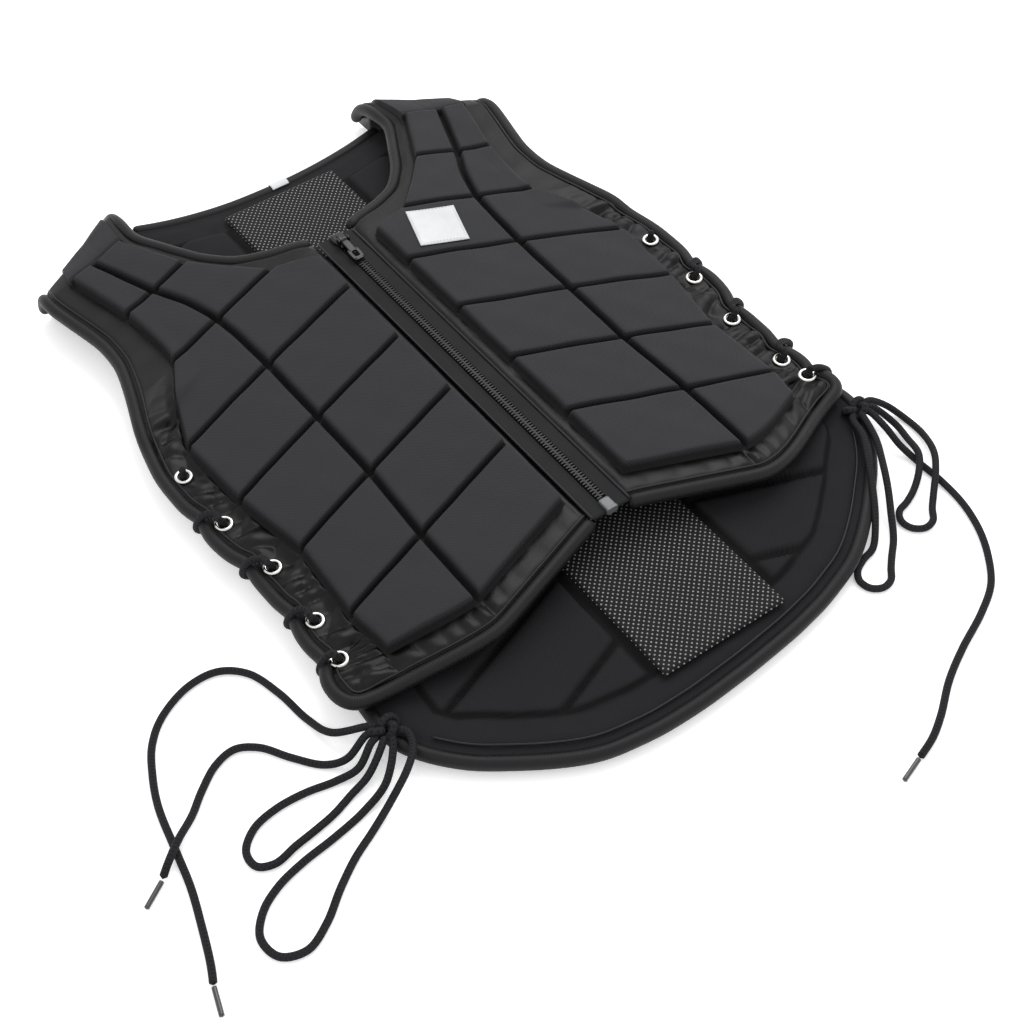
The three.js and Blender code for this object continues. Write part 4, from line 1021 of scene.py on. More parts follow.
@dataclass
class BackPanel:
    """The back with its lined blocks, its tail's border, spine mesh, piping and binding."""

    front: FrontPattern
    crossings: dict
    pinch: float = BACK_PINCH
    pattern: BackPattern = field(default_factory=BackPattern)
    rows: int = 250
    cols: int = 150
    block_row_y: float = -241.0
    block_slope: float = 0.38
    border: float = 27.0
    border_drop: float = 3.6
    row_width: float = 61.0  # across a row, square to its grooves
    groove_drop: float = 4.2
    mesh_half: float = 50.0
    mesh_low: float = -284.0
    mesh_high: float = 268.0
    binding_radius: float = 5.0
    binding_offset: float = 3.6
    top: Grid = None
    bottom: Grid = None
    blocks: Grid = None
    outer_painted_shade: Grid = None
    neck_line: Grid = None

    def shape(self) -> None:
        """Works out both faces.

        The inner face is the thickness less a drop in the grooves between the blocks, which run in rows that
        fall outward and along the mesh, and less a drop in the border. The outer face rises into grooves in
        the same rows. Both close up towards the thin edge.
        """
        p = self.pattern
        along = np.linspace(0, 1, self.rows)
        across = np.sin(np.linspace(-math.pi / 2, math.pi / 2, self.cols) * 0.8) / math.sin(0.4 * math.pi)
        along, across = np.meshgrid(along, across, indexing="ij")
        x, y = p.points(along, across, self.front)
        width = p.half_width * soft_lookup(along, p.side_along, p.side_across, 0.04)
        pulled = np.where(
            x < 0,
            drawn_in(y, self.crossings[Side.RIGHT], self.pinch),
            drawn_in(y, self.crossings[Side.LEFT], self.pinch),
        )
        x = x - np.sign(x) * pulled * np.clip(np.abs(x) / width, 0.0, 1.0) ** 6
        width = width - pulled
        gradient = np.gradient(p.bottom_y(np.linspace(-209, 209, 400)), 418 / 399)
        slant = np.interp(x, np.linspace(-209, 209, 400), 1.0 / np.sqrt(1.0 + gradient**2))
        to_edge = np.minimum(width - np.abs(x), (y - p.bottom_y(x)) * slant)
        to_edge = np.minimum(to_edge, p.top_y(x, self.front) - y)
        line = (y - self.block_row_y + self.block_slope * (np.abs(x) - self.mesh_half)) / self.front.row_pitch
        to_row = np.abs(line - np.round(line)) * self.row_width
        block = rounded_wall(to_row, 1.2, 4.5) * rounded_wall(np.abs(np.abs(x) - self.mesh_half - 4.0), 1.6, 4.0)
        block = np.where(np.abs(x) < self.mesh_half, 1.0, block)
        inside = rounded_wall(to_edge - self.border, 0.0, 5.0)
        block = block * inside
        top = p.thickness - (self.groove_drop * (1 - block)) * inside - self.border_drop * (1 - inside)
        top = top - (1 - smoothstep(to_edge, 0.0, 14.0)) * 1.6
        flutter = ripple(x, y, 34.0, 4.2) * 0.5 * (1 - inside) * smoothstep(to_edge, 1.0, 7.0)
        top = top + flutter + ripple(x, y, 70.0, 2.2) * 0.3
        outer_block = rounded_wall(to_row, 1.4, 6.0) * rounded_wall(np.abs(np.abs(x) - 102.0), 1.2, 5.0)
        outer_block = outer_block * rounded_wall(np.abs(x), 1.2, 5.0)
        bottom = 5.0 * (1 - outer_block * rounded_wall(to_edge - 18.0, 0.0, 6.0))
        bottom = bottom + 2.0 * (1 - smoothstep(to_edge, 0.0, 14.0))
        # Painted shade for the colour: darker in the grooves between the blocks on both faces and in a strip along the
        # step down to the border.
        step = np.exp(-(((to_edge - self.border - 1.0) / 1.6) ** 2))
        self.blocks = np.where(to_edge > self.border + 1.0, block, 1.0) * (1 - 0.8 * step)
        self.outer_painted_shade = np.where(to_edge > 20.0, outer_block, 0.9)
        self.top = np.stack([x, y, top], axis=-1)
        self.bottom = np.stack([x, y, bottom], axis=-1)

    def panel(self, finishes: Finishes) -> bpy.types.Object:
        """Makes the back; its inner face is lining and its outer one shell cloth."""
        shell = between(self.top, self.bottom, self.top[..., :2] * MM)
        piece = make_piece("back_shell", shell, finishes.lining)
        piece.data.materials.append(finishes.shell)
        # Painted shade of the inner face's grooves and step, then of the outer face's grooves.
        store_painted_shade(piece, np.concatenate([self.blocks.ravel(), self.outer_painted_shade.ravel()]))
        upper = (self.rows - 1) * (self.cols - 1)
        index = np.concatenate([np.zeros(upper), np.ones(len(shell.quads) - upper)]).astype(np.int32)
        piece.data.polygons.foreach_set("material_index", index)
        settle(piece, "vest", "shell_fabric", "back_panel")
        return piece

    def _rim(self, line: Grid, outward: int) -> Grid:
        """A rim's middle line, moved outward in plan by the binding's offset."""
        return line + beside(line) * outward * self.binding_offset

    def bindings(self, finishes: Finishes) -> list:
        """Makes the binding round the sides and tail, the neck's, and the tail's piping."""
        middle = (self.top + self.bottom) / 2
        right = self._rim(middle[::-1, 0], 1)
        tail = self._rim(middle[0, :], 1)
        left = self._rim(middle[:, -1], 1)
        outline = np.vstack([right[:-3], tail[3:-3], left[3:]])
        outline = softened(resampled(outline, 2.5), 16)
        across = self.top[-1, :, 0]
        neck = self._rim(middle[-1, np.abs(across) < self.pattern.neck_corner - 3.0], -1)
        neck = softened(resampled(neck, 2.5), 10)
        self.neck_line = neck
        made = []
        for name, path, node in (
            ("back_edge", outline, "back_binding"), ("neck_edge_back", neck, "neck_binding_back"),
        ):
            piece = make_piece(name, tube(path, self.binding_radius, 16), finishes.binding)
            made.append(settle(piece, "vest", "binding_fabric", node))
        inner = middle[0, 8:-8].copy()
        inner = self._rim(inner, 1) - beside(inner) * (self.binding_offset + 6.4)
        inner[:, 2] = 15.2
        piping = make_piece("tail_piping", tube(softened(resampled(inner, 2.5), 10), 0.9, 8), finishes.piping)
        made.append(settle(piping, "vest", "binding_fabric"))
        return made

    def spine_mesh(self, finishes: Finishes) -> bpy.types.Object:
        """Makes the strip of spacer mesh on the inner face: a flat grid with a low swell, 1.5 mm thick, whose
        top closes down along its edges."""
        y = np.linspace(self.mesh_low, self.mesh_high, 230)
        x = np.linspace(-self.mesh_half, self.mesh_half, 50)
        y, x = np.meshgrid(y, x, indexing="ij")
        edge = np.minimum(self.mesh_half - np.abs(x), np.minimum(y - self.mesh_low, self.mesh_high - y))
        rise = 1.6 * rounded_wall(edge, 0.0, 2.0) + ripple(x, y, 90.0, 0.7) * 0.25
        base = self.pattern.thickness + 0.35
        top = np.stack([x, y, base + np.maximum(rise, 0.1)], axis=-1)
        bottom = np.stack([x, y, np.full_like(x, base)], axis=-1)
        piece = make_piece("spine_mesh_strip", between(top, bottom, top[..., :2] * MM), finishes.mesh)
        settle(piece, "vest", "mesh_lining", "spine_mesh")
        return piece


@dataclass
class Zip:
    """The zip: two tapes, interlocking teeth, a slider with its pull, and the box at the hem."""

    front: FrontPattern
    tape_width: float = 11.0
    tape_z: float = 46.6
    tape_top: float = 48.0
    bottom_y: float = -164.0
    slider_top_y: float = 166.0
    slider_length: float = 17.0
    tooth_pitch: float = 2.6
    pull_tilt: float = 6.0

    def tapes(self, finishes: Finishes) -> list:
        """Makes both tapes: flat strips that rise at the inner edge, where the teeth grip a cord."""
        made = []
        y = np.linspace(self.bottom_y - 11.0, self.slider_top_y, 140)
        share = np.linspace(0, 1, 12)
        for side in Side:
            yy, ss = np.meshgrid(y, share, indexing="ij")
            x = self.front.shift + side.value * (3.8 + ss * self.tape_width)
            rise = 0.6 * np.exp(-((ss * 8.0) ** 2)) + 0.12 * ripple(x, yy, 30.0, 3.3)
            top = np.stack([x, yy, self.tape_top + rise], axis=-1)
            bottom = np.stack([x, yy, np.full_like(x, self.tape_z)], axis=-1)
            uv = np.stack([yy, x], axis=-1) * MM
            piece = make_piece(f"zip_band_{side.word}", between(top, bottom, uv), finishes.tape)
            made.append(settle(piece, "vest", "binding_fabric", f"zip_tape_{side.word}"))
            edge_x = self.front.shift + side.value * (4.4 + self.tape_width)
            line = np.column_stack([np.full(140, edge_x), y, np.full(140, self.tape_top + 0.2)])
            cord = make_piece(f"zip_piping_{side.word}", tube(line, 1.1, 8), finishes.piping)
            made.append(settle(cord, "vest", "binding_fabric"))
        return made

    def teeth(self, finishes: Finishes) -> bpy.types.Object:
        """Makes the teeth: one small block with a narrower top, repeated along both sides half a pitch apart,
        so they mesh in the middle."""
        corner = np.array([[-1, -1], [1, -1], [1, 1], [-1, 1]], dtype=float)
        low = np.column_stack([corner * [2.3, 0.85], np.full(4, -1.5)])
        waist = np.column_stack([corner * [2.3, 0.85], np.full(4, 0.9)])
        crest = np.column_stack([corner * [1.9, 0.5], np.full(4, 1.75)])
        tooth = np.vstack([low, waist, crest])
        ring, _, _ = patch(3, 4, wrap_cols=True)
        quads = np.vstack([ring, [[3, 2, 1, 0], [8, 9, 10, 11]]])
        top_y = self.slider_top_y - self.slider_length - 1.0
        first = np.arange(self.bottom_y + 1.0, top_y, self.tooth_pitch)
        spots = np.concatenate(
            [
                np.column_stack([np.full(len(first), -1.25), first]),
                np.column_stack([np.full(len(first), 1.25), first + self.tooth_pitch / 2]),
            ]
        )
        centre = np.column_stack([spots[:, 0] + self.front.shift, spots[:, 1], np.full(len(spots), self.tape_top)])
        verts = (centre[:, None, :] + tooth[None]).reshape(-1, 3)
        every = (np.arange(len(spots))[:, None, None] * len(tooth) + quads[None]).reshape(-1, 4)
        shell = Shell(verts, every, np.zeros(every.shape + (2,))).outward()
        core_middle = (self.front.shift, (top_y + self.bottom_y) / 2, 48.0)
        core = rounded_block((3.0, top_y - self.bottom_y, 2.0), core_middle, 0.2)
        piece = make_piece("zip_chain", joined([shell, core]), finishes.teeth, 30.0)
        return settle(piece, "vest", "zip_plastic", "zip_teeth")

    def box_end(self, finishes: Finishes) -> bpy.types.Object:
        """Makes the box at the hem: a block with soft edges and a pin beside it."""
        x = self.front.shift
        block = rounded_block((8.4, 11.6, 5.2), (x, self.bottom_y - 6.3, 48.0), 0.32, 16, 36)
        lip = rounded_block((8.9, 2.6, 5.7), (x, self.bottom_y - 10.8, 48.0), 0.32, 12, 28)
        piece = make_piece("zip_box", joined([block, lip]), finishes.stop)
        return settle(piece, "vest", "zip_stop", "zip_bottom_stop")

    def slider(self, finishes: Finishes) -> bpy.types.Object:
        """Makes the slider: a waisted upper plate, a lower one, the wedge between them and two ears that hold
        the pull's bar."""
        x = self.front.shift
        centre_y = self.slider_top_y - self.slider_length / 2
        share = np.linspace(-1, 1, 21)
        half = 5.7 - 1.5 * smoothstep(-share, -0.2, 0.9)
        across = np.linspace(-1, 1, 15)
        plates = []
        for base, thick in ((48.9, 2.9), (45.4, 1.5)):
            s, a = np.meshgrid(share, across, indexing="ij")
            soft = (1 - np.abs(s) ** 8) * (1 - np.abs(a) ** 8)
            xx = x + a * half[:, None] * (1 - 0.22 * np.abs(s) ** 6)
            yy = centre_y + s * self.slider_length / 2
            top = np.stack([xx, yy, base + thick * (0.45 + 0.55 * soft)], axis=-1)
            bottom = np.stack([xx, yy, base + 0.2 * (1 - soft)], axis=-1)
            plates.append(between(top, bottom, top[..., :2] * MM))
        wedge = rounded_block((5.0, 6.0, 4.6), (x, self.slider_top_y - 4.0, 48.0), 0.5)
        axis_y = self.slider_top_y - self.slider_length + 3.7
        ears = [
            rounded_block((1.7, 4.8, 5.6), (x + side * 4.1, axis_y, 53.2), 0.5) for side in (-1.0, 1.0)
        ]
        bridge = rounded_block((3.4, 7.0, 2.0), (x, axis_y + 6.0, 52.0), 0.6)
        piece = make_piece("zip_runner", joined([*plates, wedge, *ears, bridge]), finishes.lacquer, 50.0)
        return settle(piece, "vest", "zip_metal", "zip_slider")

    def pull(self, finishes: Finishes) -> bpy.types.Object:
        """Makes the pull, which turns on its bar: bar, stem and a paddle with a slot. The paddle is a rounded
        rectangle's outline carried round, four points deep."""
        angle = np.linspace(0, 2 * math.pi, 48, endpoint=False)

        def outline(width: float, length: float, z: float) -> Grid:
            """Rounded rectangle at height z: a superellipse of power 0.5."""
            cos, sin = np.cos(angle), np.sin(angle)
            ox = np.sign(cos) * np.abs(cos) ** 0.5 * width / 2
            oy = np.sign(sin) * np.abs(sin) ** 0.5 * length / 2 - 17.6
            return np.stack([ox, oy, np.full_like(ox, z)], axis=-1)

        section = np.stack(
            [
                outline(9.2, 13.0, 0.55), outline(9.4, 13.2, 0.0), outline(9.2, 13.0, -0.55), outline(8.6, 12.4, -0.95),
                outline(4.6, 6.6, -0.95), outline(4.2, 6.2, 0.0), outline(4.6, 6.6, 0.95), outline(8.6, 12.4, 0.95),
            ]
        )
        quads, corner_r, corner_c = patch(8, 48, wrap_rows=True, wrap_cols=True)
        ring = Shell(section.reshape(-1, 3), quads, np.stack([corner_r / 8, corner_c / 48], axis=-1)).outward()
        stem = rounded_block((5.4, 11.0, 1.9), (0.0, -7.0, 0.0), 0.35)
        bar = tube(np.array([[-3.2 + 0.4 * i, 0.0, 0.0] for i in range(17)]), 1.65, 16, closed_ends=0.2)
        tilt = math.radians(self.pull_tilt)
        turn = np.array([[1, 0, 0], [0, math.cos(tilt), -math.sin(tilt)], [0, math.sin(tilt), math.cos(tilt)]])
        at = (self.front.shift, self.slider_top_y - self.slider_length + 3.7, 54.0)
        shell = joined([ring, stem, bar]).turned(turn).moved(at)
        piece = make_piece("zip_pull_tab", shell, finishes.lacquer, 50.0)
        return settle(piece, "zip_pull", "zip_metal", "zip_pull")


@dataclass
class Eyelets:
    """Metal eyelets along both side edges, and the laces drawn through them."""

    front: FrontPattern
    back: BackPattern
    lifts: dict
    count: int = 5
    first_row: float = EYELET_FIRST_ROW
    row_step: float = EYELET_ROW_STEP
    inset: float = 9.0
    bore: float = 3.8
    flange: float = 6.8
    lace_radius: float = 2.5
    pinch_front: float = FRONT_PINCH
    pinch_back: float = BACK_PINCH

    def front_spots(self, side: Side) -> Grid:
        """Middles of the front's eyelets."""
        row = self.first_row + self.row_step * np.arange(self.count)
        x = self.front.half_width * np.interp(row, self.front.rows, self.front.edges["side"]) - self.inset
        y = self.front.row_y(row, x, self.lifts[side])
        return np.stack([side.value * x + self.front.shift, y, np.full_like(x, 23.0)], axis=-1)

    def back_spots(self, side: Side) -> Grid:
        """Middles of the back's eyelets, read from the CAD rings."""
        spots = []
        for i in range(self.count):
            low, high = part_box(f"eyelet_back_{side.word}_{i + 1}")
            spots.append((np.array(low) + np.array(high)) / 2 / MM - ORIGIN_SHIFT)
        spots = np.array(spots)
        spots[:, 2] = 9.5
        return spots

    def _ring(self, half: float, facing: int) -> Shell:
        """One eyelet turned on Z: a barrel, a rolled flange on the outside and a flat washer inside."""
        roll = np.linspace(0, math.pi, 9)
        middle = (self.flange + self.bore) / 2
        reach = (self.flange - self.bore) / 2
        flange = [(middle - reach * math.cos(a), half + 0.2 + 1.3 * math.sin(a)) for a in roll]
        washer = [(self.flange - 1.0, -half - 0.1), (self.flange - 1.0, -half - 0.5), (self.bore, -half - 0.5)]
        profile = [*flange, (self.bore + 0.7, half), (self.bore + 0.7, -half - 0.1), *washer]
        return turned_profile([(r, h * facing) for r, h in profile], 32)

    def rings(self, finishes: Finishes) -> list:
        """Makes the twenty eyelets."""
        made = []
        for side in Side:
            for word, spots, half, facing in (
                ("front", self.front_spots(side), 3.0, 1), ("back", self.back_spots(side), 2.5, -1),
            ):
                for i, spot in enumerate(spots):
                    name = f"{word}_{side.word}_{i + 1}"
                    ring = self._ring(half, facing).moved(spot)
                    piece = make_piece(f"eyelet_ring_{name}", ring, finishes.nickel, 40.0)
                    made.append(settle(piece, "vest", "eyelet_metal", f"eyelet_{name}"))
        return made

    def crossings(self, side: Side) -> Grid:
        """Heights where a side's lace passes the edges: half way from a back eyelet to the next front one."""
        return (self.back_spots(side)[:-1, 1] + self.front_spots(side)[1:, 1]) / 2

    def _edge_at(self, side: Side, y: float) -> float:
        """How far out the front's cut edge lies at height y."""
        row = np.linspace(0.0, 6.0, 200)
        x = self.front.edge_x("side", row)
        at = self.front.row_y(row, x, self.lifts[side])
        return float(np.interp(-y, -at, x))

    def _back_edge_at(self, y: float) -> float:
        """How far out the back's cut edge lies at height y."""
        x, at = self.back.points(np.linspace(0.0, 1.0, 300), np.ones(300), self.front)
        return float(np.interp(y, at, np.abs(x)))

    def _lace_points(self, side: Side) -> list:
        """Points of a side's lace: down through a front eyelet and a back one, out under the edge, up over
        both edges and on to the next front eyelet."""
        fronts, backs = self.front_spots(side), self.back_spots(side)
        sign = side.value
        over, under = 33.2, 3.75
        points = []
        for i, (front, back) in enumerate(zip(fronts, backs)):
            if i == 0:
                points.append([front[0], front[1], over + 2.5])
            points.append([front[0], front[1], 28.0])
            points.append([front[0], front[1], 19.0])
            points.append([back[0], back[1], 13.0])
            points.append([back[0], back[1], 6.7])
            if i + 1 == self.count:
                break
            following = fronts[i + 1]
            y = back[1] + (following[1] - back[1]) * np.array([0.02, 0.06, 0.36, 0.5, 0.6, 0.8])
            shift = self.front.shift * sign
            front_edge = self._edge_at(side, y[3]) - self.pinch_front + shift
            back_edge = self._back_edge_at(y[3]) - self.pinch_back
            out = sign * (max(front_edge + 8.5, back_edge + 8.6) + self.lace_radius + 0.2)
            points.append([back[0] + sign * 1.1, y[0], under + 0.6])
            points.append([back[0] + sign * 3.6, y[1], under])
            points.append([sign * (back_edge + 3.6), y[2], under])
            points.append([out, y[3], (over + under) / 2])
            points.append([sign * (front_edge + 5.5), y[4], over - 1.8])
            points.append([(following[0] + sign * front_edge) / 2, y[5], over - 0.8])
            points.append([following[0] + sign * 3.6, following[1], over])
        return points

    def side_laces(self, finishes: Finishes) -> list:
        """Makes the lace of each side, drawn tight through its eyelets."""
        made = []
        for side in Side:
            path = resampled(spline(self._lace_points(side), 12), 1.6)
            shell = tube(softened(path, 3), self.lace_radius, 12)
            piece = make_piece(f"drawn_lace_{side.word}", shell, finishes.lace)
            made.append(settle(piece, "vest", "lace_cord", f"side_lace_{side.word}"))
        return made


# Points of the loose laces in the frame, in metres, from the knot outwards
LACE_ROUTES = {
    "lace_end_right_1": (
        (-0.2122, -0.2110, 0.0186), (-0.2308, -0.1958, 0.0100), (-0.2358, -0.1738, 0.0028),
        (-0.2398, -0.1458, 0.0026), (-0.2478, -0.1208, 0.0026), (-0.2628, -0.1078, 0.0026),
        (-0.2838, -0.1068, 0.0026), (-0.3088, -0.1178, 0.0026), (-0.3238, -0.1328, 0.0026),
        (-0.3338, -0.1518, 0.0026), (-0.3418, -0.1738, 0.0026), (-0.3478, -0.2058, 0.0026),
        (-0.3528, -0.2338, 0.0026), (-0.3598, -0.2588, 0.0026), (-0.3678, -0.2838, 0.0026),
        (-0.3728, -0.2958, 0.0026),
    ),
    "lace_end_right_2": (
        (-0.2166, -0.2147, 0.0176), (-0.2328, -0.2158, 0.0070), (-0.2448, -0.2088, 0.0027),
        (-0.2588, -0.1918, 0.0026), (-0.2708, -0.1738, 0.0026), (-0.2838, -0.1658, 0.0026),
        (-0.2988, -0.1688, 0.0026), (-0.3148, -0.1798, 0.0026), (-0.3288, -0.1928, 0.0042),
        (-0.3438, -0.2048, 0.0084), (-0.3558, -0.2138, 0.0070), (-0.3638, -0.2198, 0.0036),
    ),
    "lace_loop_right_1": (
        (-0.2170, -0.2207, 0.0170), (-0.2308, -0.2258, 0.0070), (-0.2458, -0.2228, 0.0027),
        (-0.2648, -0.2188, 0.0026), (-0.2848, -0.2178, 0.0026), (-0.3028, -0.2218, 0.0026),
        (-0.3148, -0.2328, 0.0026), (-0.3148, -0.2448, 0.0026), (-0.3048, -0.2498, 0.0026),
        (-0.2888, -0.2468, 0.0026), (-0.2748, -0.2448, 0.0026), (-0.2588, -0.2418, 0.0026),
        (-0.2438, -0.2368, 0.0027), (-0.2288, -0.2338, 0.0070), (-0.2118, -0.2252, 0.0170),
    ),
    "lace_loop_right_2": (
        (-0.2056, -0.2271, 0.0172), (-0.2228, -0.2448, 0.0080), (-0.2428, -0.2508, 0.0027),
        (-0.2678, -0.2558, 0.0026), (-0.2908, -0.2588, 0.0026), (-0.3108, -0.2638, 0.0026),
        (-0.3268, -0.2728, 0.0026), (-0.3368, -0.2868, 0.0026), (-0.3338, -0.3028, 0.0026),
        (-0.3188, -0.3088, 0.0026), (-0.3008, -0.3008, 0.0026), (-0.2828, -0.2868, 0.0026),
        (-0.2648, -0.2748, 0.0026), (-0.2468, -0.2658, 0.0026), (-0.2288, -0.2578, 0.0070),
        (-0.2088, -0.2488, 0.0170), (-0.1978, -0.2378, 0.0175), (-0.1954, -0.2270, 0.0178),
    ),
    "lace_end_left": (
        (0.2176, -0.1971, 0.0180), (0.2182, -0.2138, 0.0155), (0.2202, -0.2268, 0.0080),
        (0.2232, -0.2428, 0.0026), (0.2232, -0.2678, 0.0026), (0.2202, -0.2908, 0.0026),
        (0.2122, -0.3138, 0.0026), (0.2002, -0.3338, 0.0026), (0.1842, -0.3518, 0.0026),
        (0.1622, -0.3648, 0.0026), (0.1322, -0.3778, 0.0026), (0.1072, -0.3908, 0.0026),
        (0.0842, -0.4068, 0.0026), (0.0682, -0.4158, 0.0026), (0.0512, -0.4218, 0.0026),
    ),
    "lace_loop_left_1": (
        (0.2248, -0.1888, 0.0180), (0.2392, -0.1938, 0.0080), (0.2452, -0.2078, 0.0028),
        (0.2442, -0.2258, 0.0035), (0.2352, -0.2458, 0.0075), (0.2232, -0.2598, 0.0086),
        (0.2102, -0.2718, 0.0050), (0.2001, -0.2811, 0.0030), (0.1933, -0.2889, 0.0026),
        (0.1845, -0.2906, 0.0026), (0.1771, -0.2854, 0.0026), (0.1755, -0.2767, 0.0026),
        (0.1807, -0.2693, 0.0026), (0.1905, -0.2663, 0.0028), (0.2012, -0.2618, 0.0045),
        (0.2142, -0.2528, 0.0080), (0.2242, -0.2418, 0.0089), (0.2312, -0.2238, 0.0050),
        (0.2332, -0.2098, 0.0060), (0.2231, -0.1943, 0.0170),
    ),
    "lace_loop_left_2": (
        (0.2032, -0.1955, 0.0186), (0.1962, -0.2128, 0.0205), (0.1852, -0.2298, 0.0195),
        (0.1722, -0.2488, 0.0170), (0.1572, -0.2688, 0.0110), (0.1432, -0.2828, 0.0032),
        (0.1319, -0.2859, 0.0026), (0.1218, -0.2910, 0.0026), (0.1170, -0.2982, 0.0026),
        (0.1185, -0.3066, 0.0026), (0.1256, -0.3114, 0.0026), (0.1341, -0.3098, 0.0026),
        (0.1412, -0.3025, 0.0026), (0.1482, -0.2958, 0.0026), (0.1602, -0.2848, 0.0035),
        (0.1702, -0.2708, 0.0090), (0.1812, -0.2548, 0.0150), (0.1932, -0.2358, 0.0180),
        (0.2032, -0.2188, 0.0185), (0.2108, -0.1978, 0.0184),
    ),
}


@dataclass
class LooseLaces:
    """Knots at the hem's corners, the loose loops and ends that lie beside them, and the ends' tips."""

    radius: float = 2.5
    tip_length: float = 20.0
    knots: dict = field(
        default_factory=lambda: {"right": (-212.0, -212.0, 18.3), "left": (205.0, -184.0, 18.3)}
    )
    tips: dict = field(
        default_factory=lambda: {
            "lace_end_right_1": ("aglet_right_1", -16.0),
            "lace_end_right_2": ("aglet_right_2", -57.0),
            "lace_end_left": ("aglet_left", -72.0),
        }
    )
    routes: dict = field(default_factory=lambda: dict(LACE_ROUTES))

    def _path(self, name: str) -> Grid:
        """Middle line of a lace in the pattern's millimetres. It goes on into its knot."""
        points = np.asarray(self.routes[name]) / MM - ORIGIN_SHIFT
        knot = np.asarray(self.knots["right" if "right" in name else "left"])
        before = [points[0] + (knot - points[0]) * 0.5]
        after = [points[-1] + (knot - points[-1]) * 0.5] if "loop" in name else []
        return resampled(spline(np.vstack([before, points, *after]), 16), 1.8)

    def _tip(self, end: Grid, turn: float) -> Shell:
        """A tip in line with its lace: a tube that is crimped narrower in the middle and pinched flat at its
        end."""
        turn = math.radians(turn)
        direction = np.array([math.sin(turn), -math.cos(turn), 0.0])
        share = np.linspace(0, 1, 24)[:, None]
        path = np.array([end[0], end[1], self.radius + 0.15]) + direction * (0.4 + share * self.tip_length)
        return tube(path, 1.7, 16, closed_ends=0.35)

    def laces(self, finishes: Finishes) -> list:
        """Makes every loose lace as a free cord of its own length, with its tip."""
        made = []
        for name in self.routes:
            path = self._path(name)
            piece = make_piece(f"{name}_cord", tube(path, self.radius, 14, closed_ends=0.8), finishes.lace)
            settle(piece, "vest", "lace_cord", name)
            tip = None
            if name in self.tips:
                node, turn = self.tips[name]
                tip = make_piece(f"{node}_tip", self._tip(path[-1], turn), finishes.aglet)
                settle(tip, "vest", "aglet", node)
                made.append(tip)
            made.append(piece)
        return made

    def knot_pieces(self, finishes: Finishes) -> list:
        """Makes the knots: a lace carried along a trefoil, (sin t + 2 sin 2t, cos t - 2 cos 2t, -sin 3t), which
        is squeezed to the knot's length, width and height."""
        made = []
        for word, at in self.knots.items():
            t = np.linspace(0.0, 2 * math.pi * 0.985, 160)
            trefoil = np.stack([np.sin(t) + 2 * np.sin(2 * t), np.cos(t) - 2 * np.cos(2 * t), -np.sin(3 * t)], axis=-1)
            path = trefoil * [3.2, 2.0, 2.9] + np.asarray(at)
            piece = make_piece(f"knot_{word}", tube(path, 2.6, 14), finishes.lace)
            made.append(settle(piece, "vest", "lace_cord", f"lace_knot_{word}"))
        return made


@dataclass
class Labels:
    """A bare woven label on the chest with its stitches, and a small one at the back of the neck."""

    front: FrontPattern
    back: BackPattern
    width: float = 38.0
    height: float = 43.0
    x: float = 66.0
    y: float = 124.0
    turn: float = -18.0

    def _on_chest(self, a: Grid, b: Grid, rise: float) -> Grid:
        """Puts points of the label, a across and b up, over the blocks: turned in plan, then laid on the
        plane that the crown has there."""
        turn = math.radians(self.turn)
        x = self.x + a * math.cos(turn) - b * math.sin(turn)
        y = self.y + a * math.sin(turn) + b * math.cos(turn)
        z = self.front.crown(np.abs(x)) + 1.2 + rise
        return np.stack([x + self.front.shift, y, z], axis=-1)

    def chest(self, finishes: Finishes) -> list:
        """Makes the label as a thin grid whose corners curl by a few tenths of a millimetre, and a row of
        short stitches round it."""
        a, b = np.meshgrid(
            np.linspace(-self.width / 2, self.width / 2, 40), np.linspace(-self.height / 2, self.height / 2, 44),
            indexing="xy",
        )
        curl = 0.35 * (np.abs(2 * a / self.width) * np.abs(2 * b / self.height)) ** 3
        edge = np.minimum(self.width / 2 - np.abs(a), self.height / 2 - np.abs(b))
        top = self._on_chest(a, b, 0.85 * rounded_wall(edge, 0.0, 0.8) + curl)
        bottom = self._on_chest(a, b, 0.0 * a)
        uv = np.stack([a, b], axis=-1) * MM
        label = make_piece("chest_patch", between(top, bottom, uv), finishes.label)
        settle(label, "vest", "label_white", "chest_label")
        inset = 1.8
        w, h = self.width / 2 - inset, self.height / 2 - inset
        corners = np.array([[-w, -h, 0.0], [w, -h, 0.0], [w, h, 0.0], [-w, h, 0.0], [-w, -h, 0.0]])
        line = resampled(corners, 2.6)
        stitches = []
        for start, end in zip(line[:-1], line[1:]):
            span = start + (end - start) * np.linspace(0.12, 0.82, 6)[:, None]
            path = self._on_chest(span[:, 0], span[:, 1], 0.9 + 0.12 * np.sin(np.linspace(0, math.pi, 6)))
            stitches.append(tube(path, 0.22, 6))
        seam = make_piece("chest_patch_stitches", joined(stitches), finishes.thread)
        settle(seam, "vest", "label_white")
        return [label, seam]

    def neck(self, finishes: Finishes, line: Grid) -> bpy.types.Object:
        """Makes the neck's label: a strip folded over the back's binding, as an arc of a circle round it."""
        low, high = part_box("neck_label")
        x = (low[0] + high[0]) / 2 / MM - ORIGIN_SHIFT[0]
        axis = line[np.argmin(np.abs(line[:, 0] - x))]
        a, t = np.meshgrid(np.linspace(-7.5, 7.5, 14), np.linspace(-1, 1, 18), indexing="xy")
        angle = t * 0.75

        def arc(radius: float) -> Grid:
            """The strip at a distance from the binding's middle line."""
            return np.stack([x + a, axis[1] - radius * np.sin(angle), axis[2] + radius * np.cos(angle)], axis=-1)

        piece = make_piece("neck_tab", between(arc(6.1), arc(5.15), np.stack([a, t], axis=-1) * MM), finishes.label)
        return settle(piece, "vest", "label_white", "neck_label")


# Studio


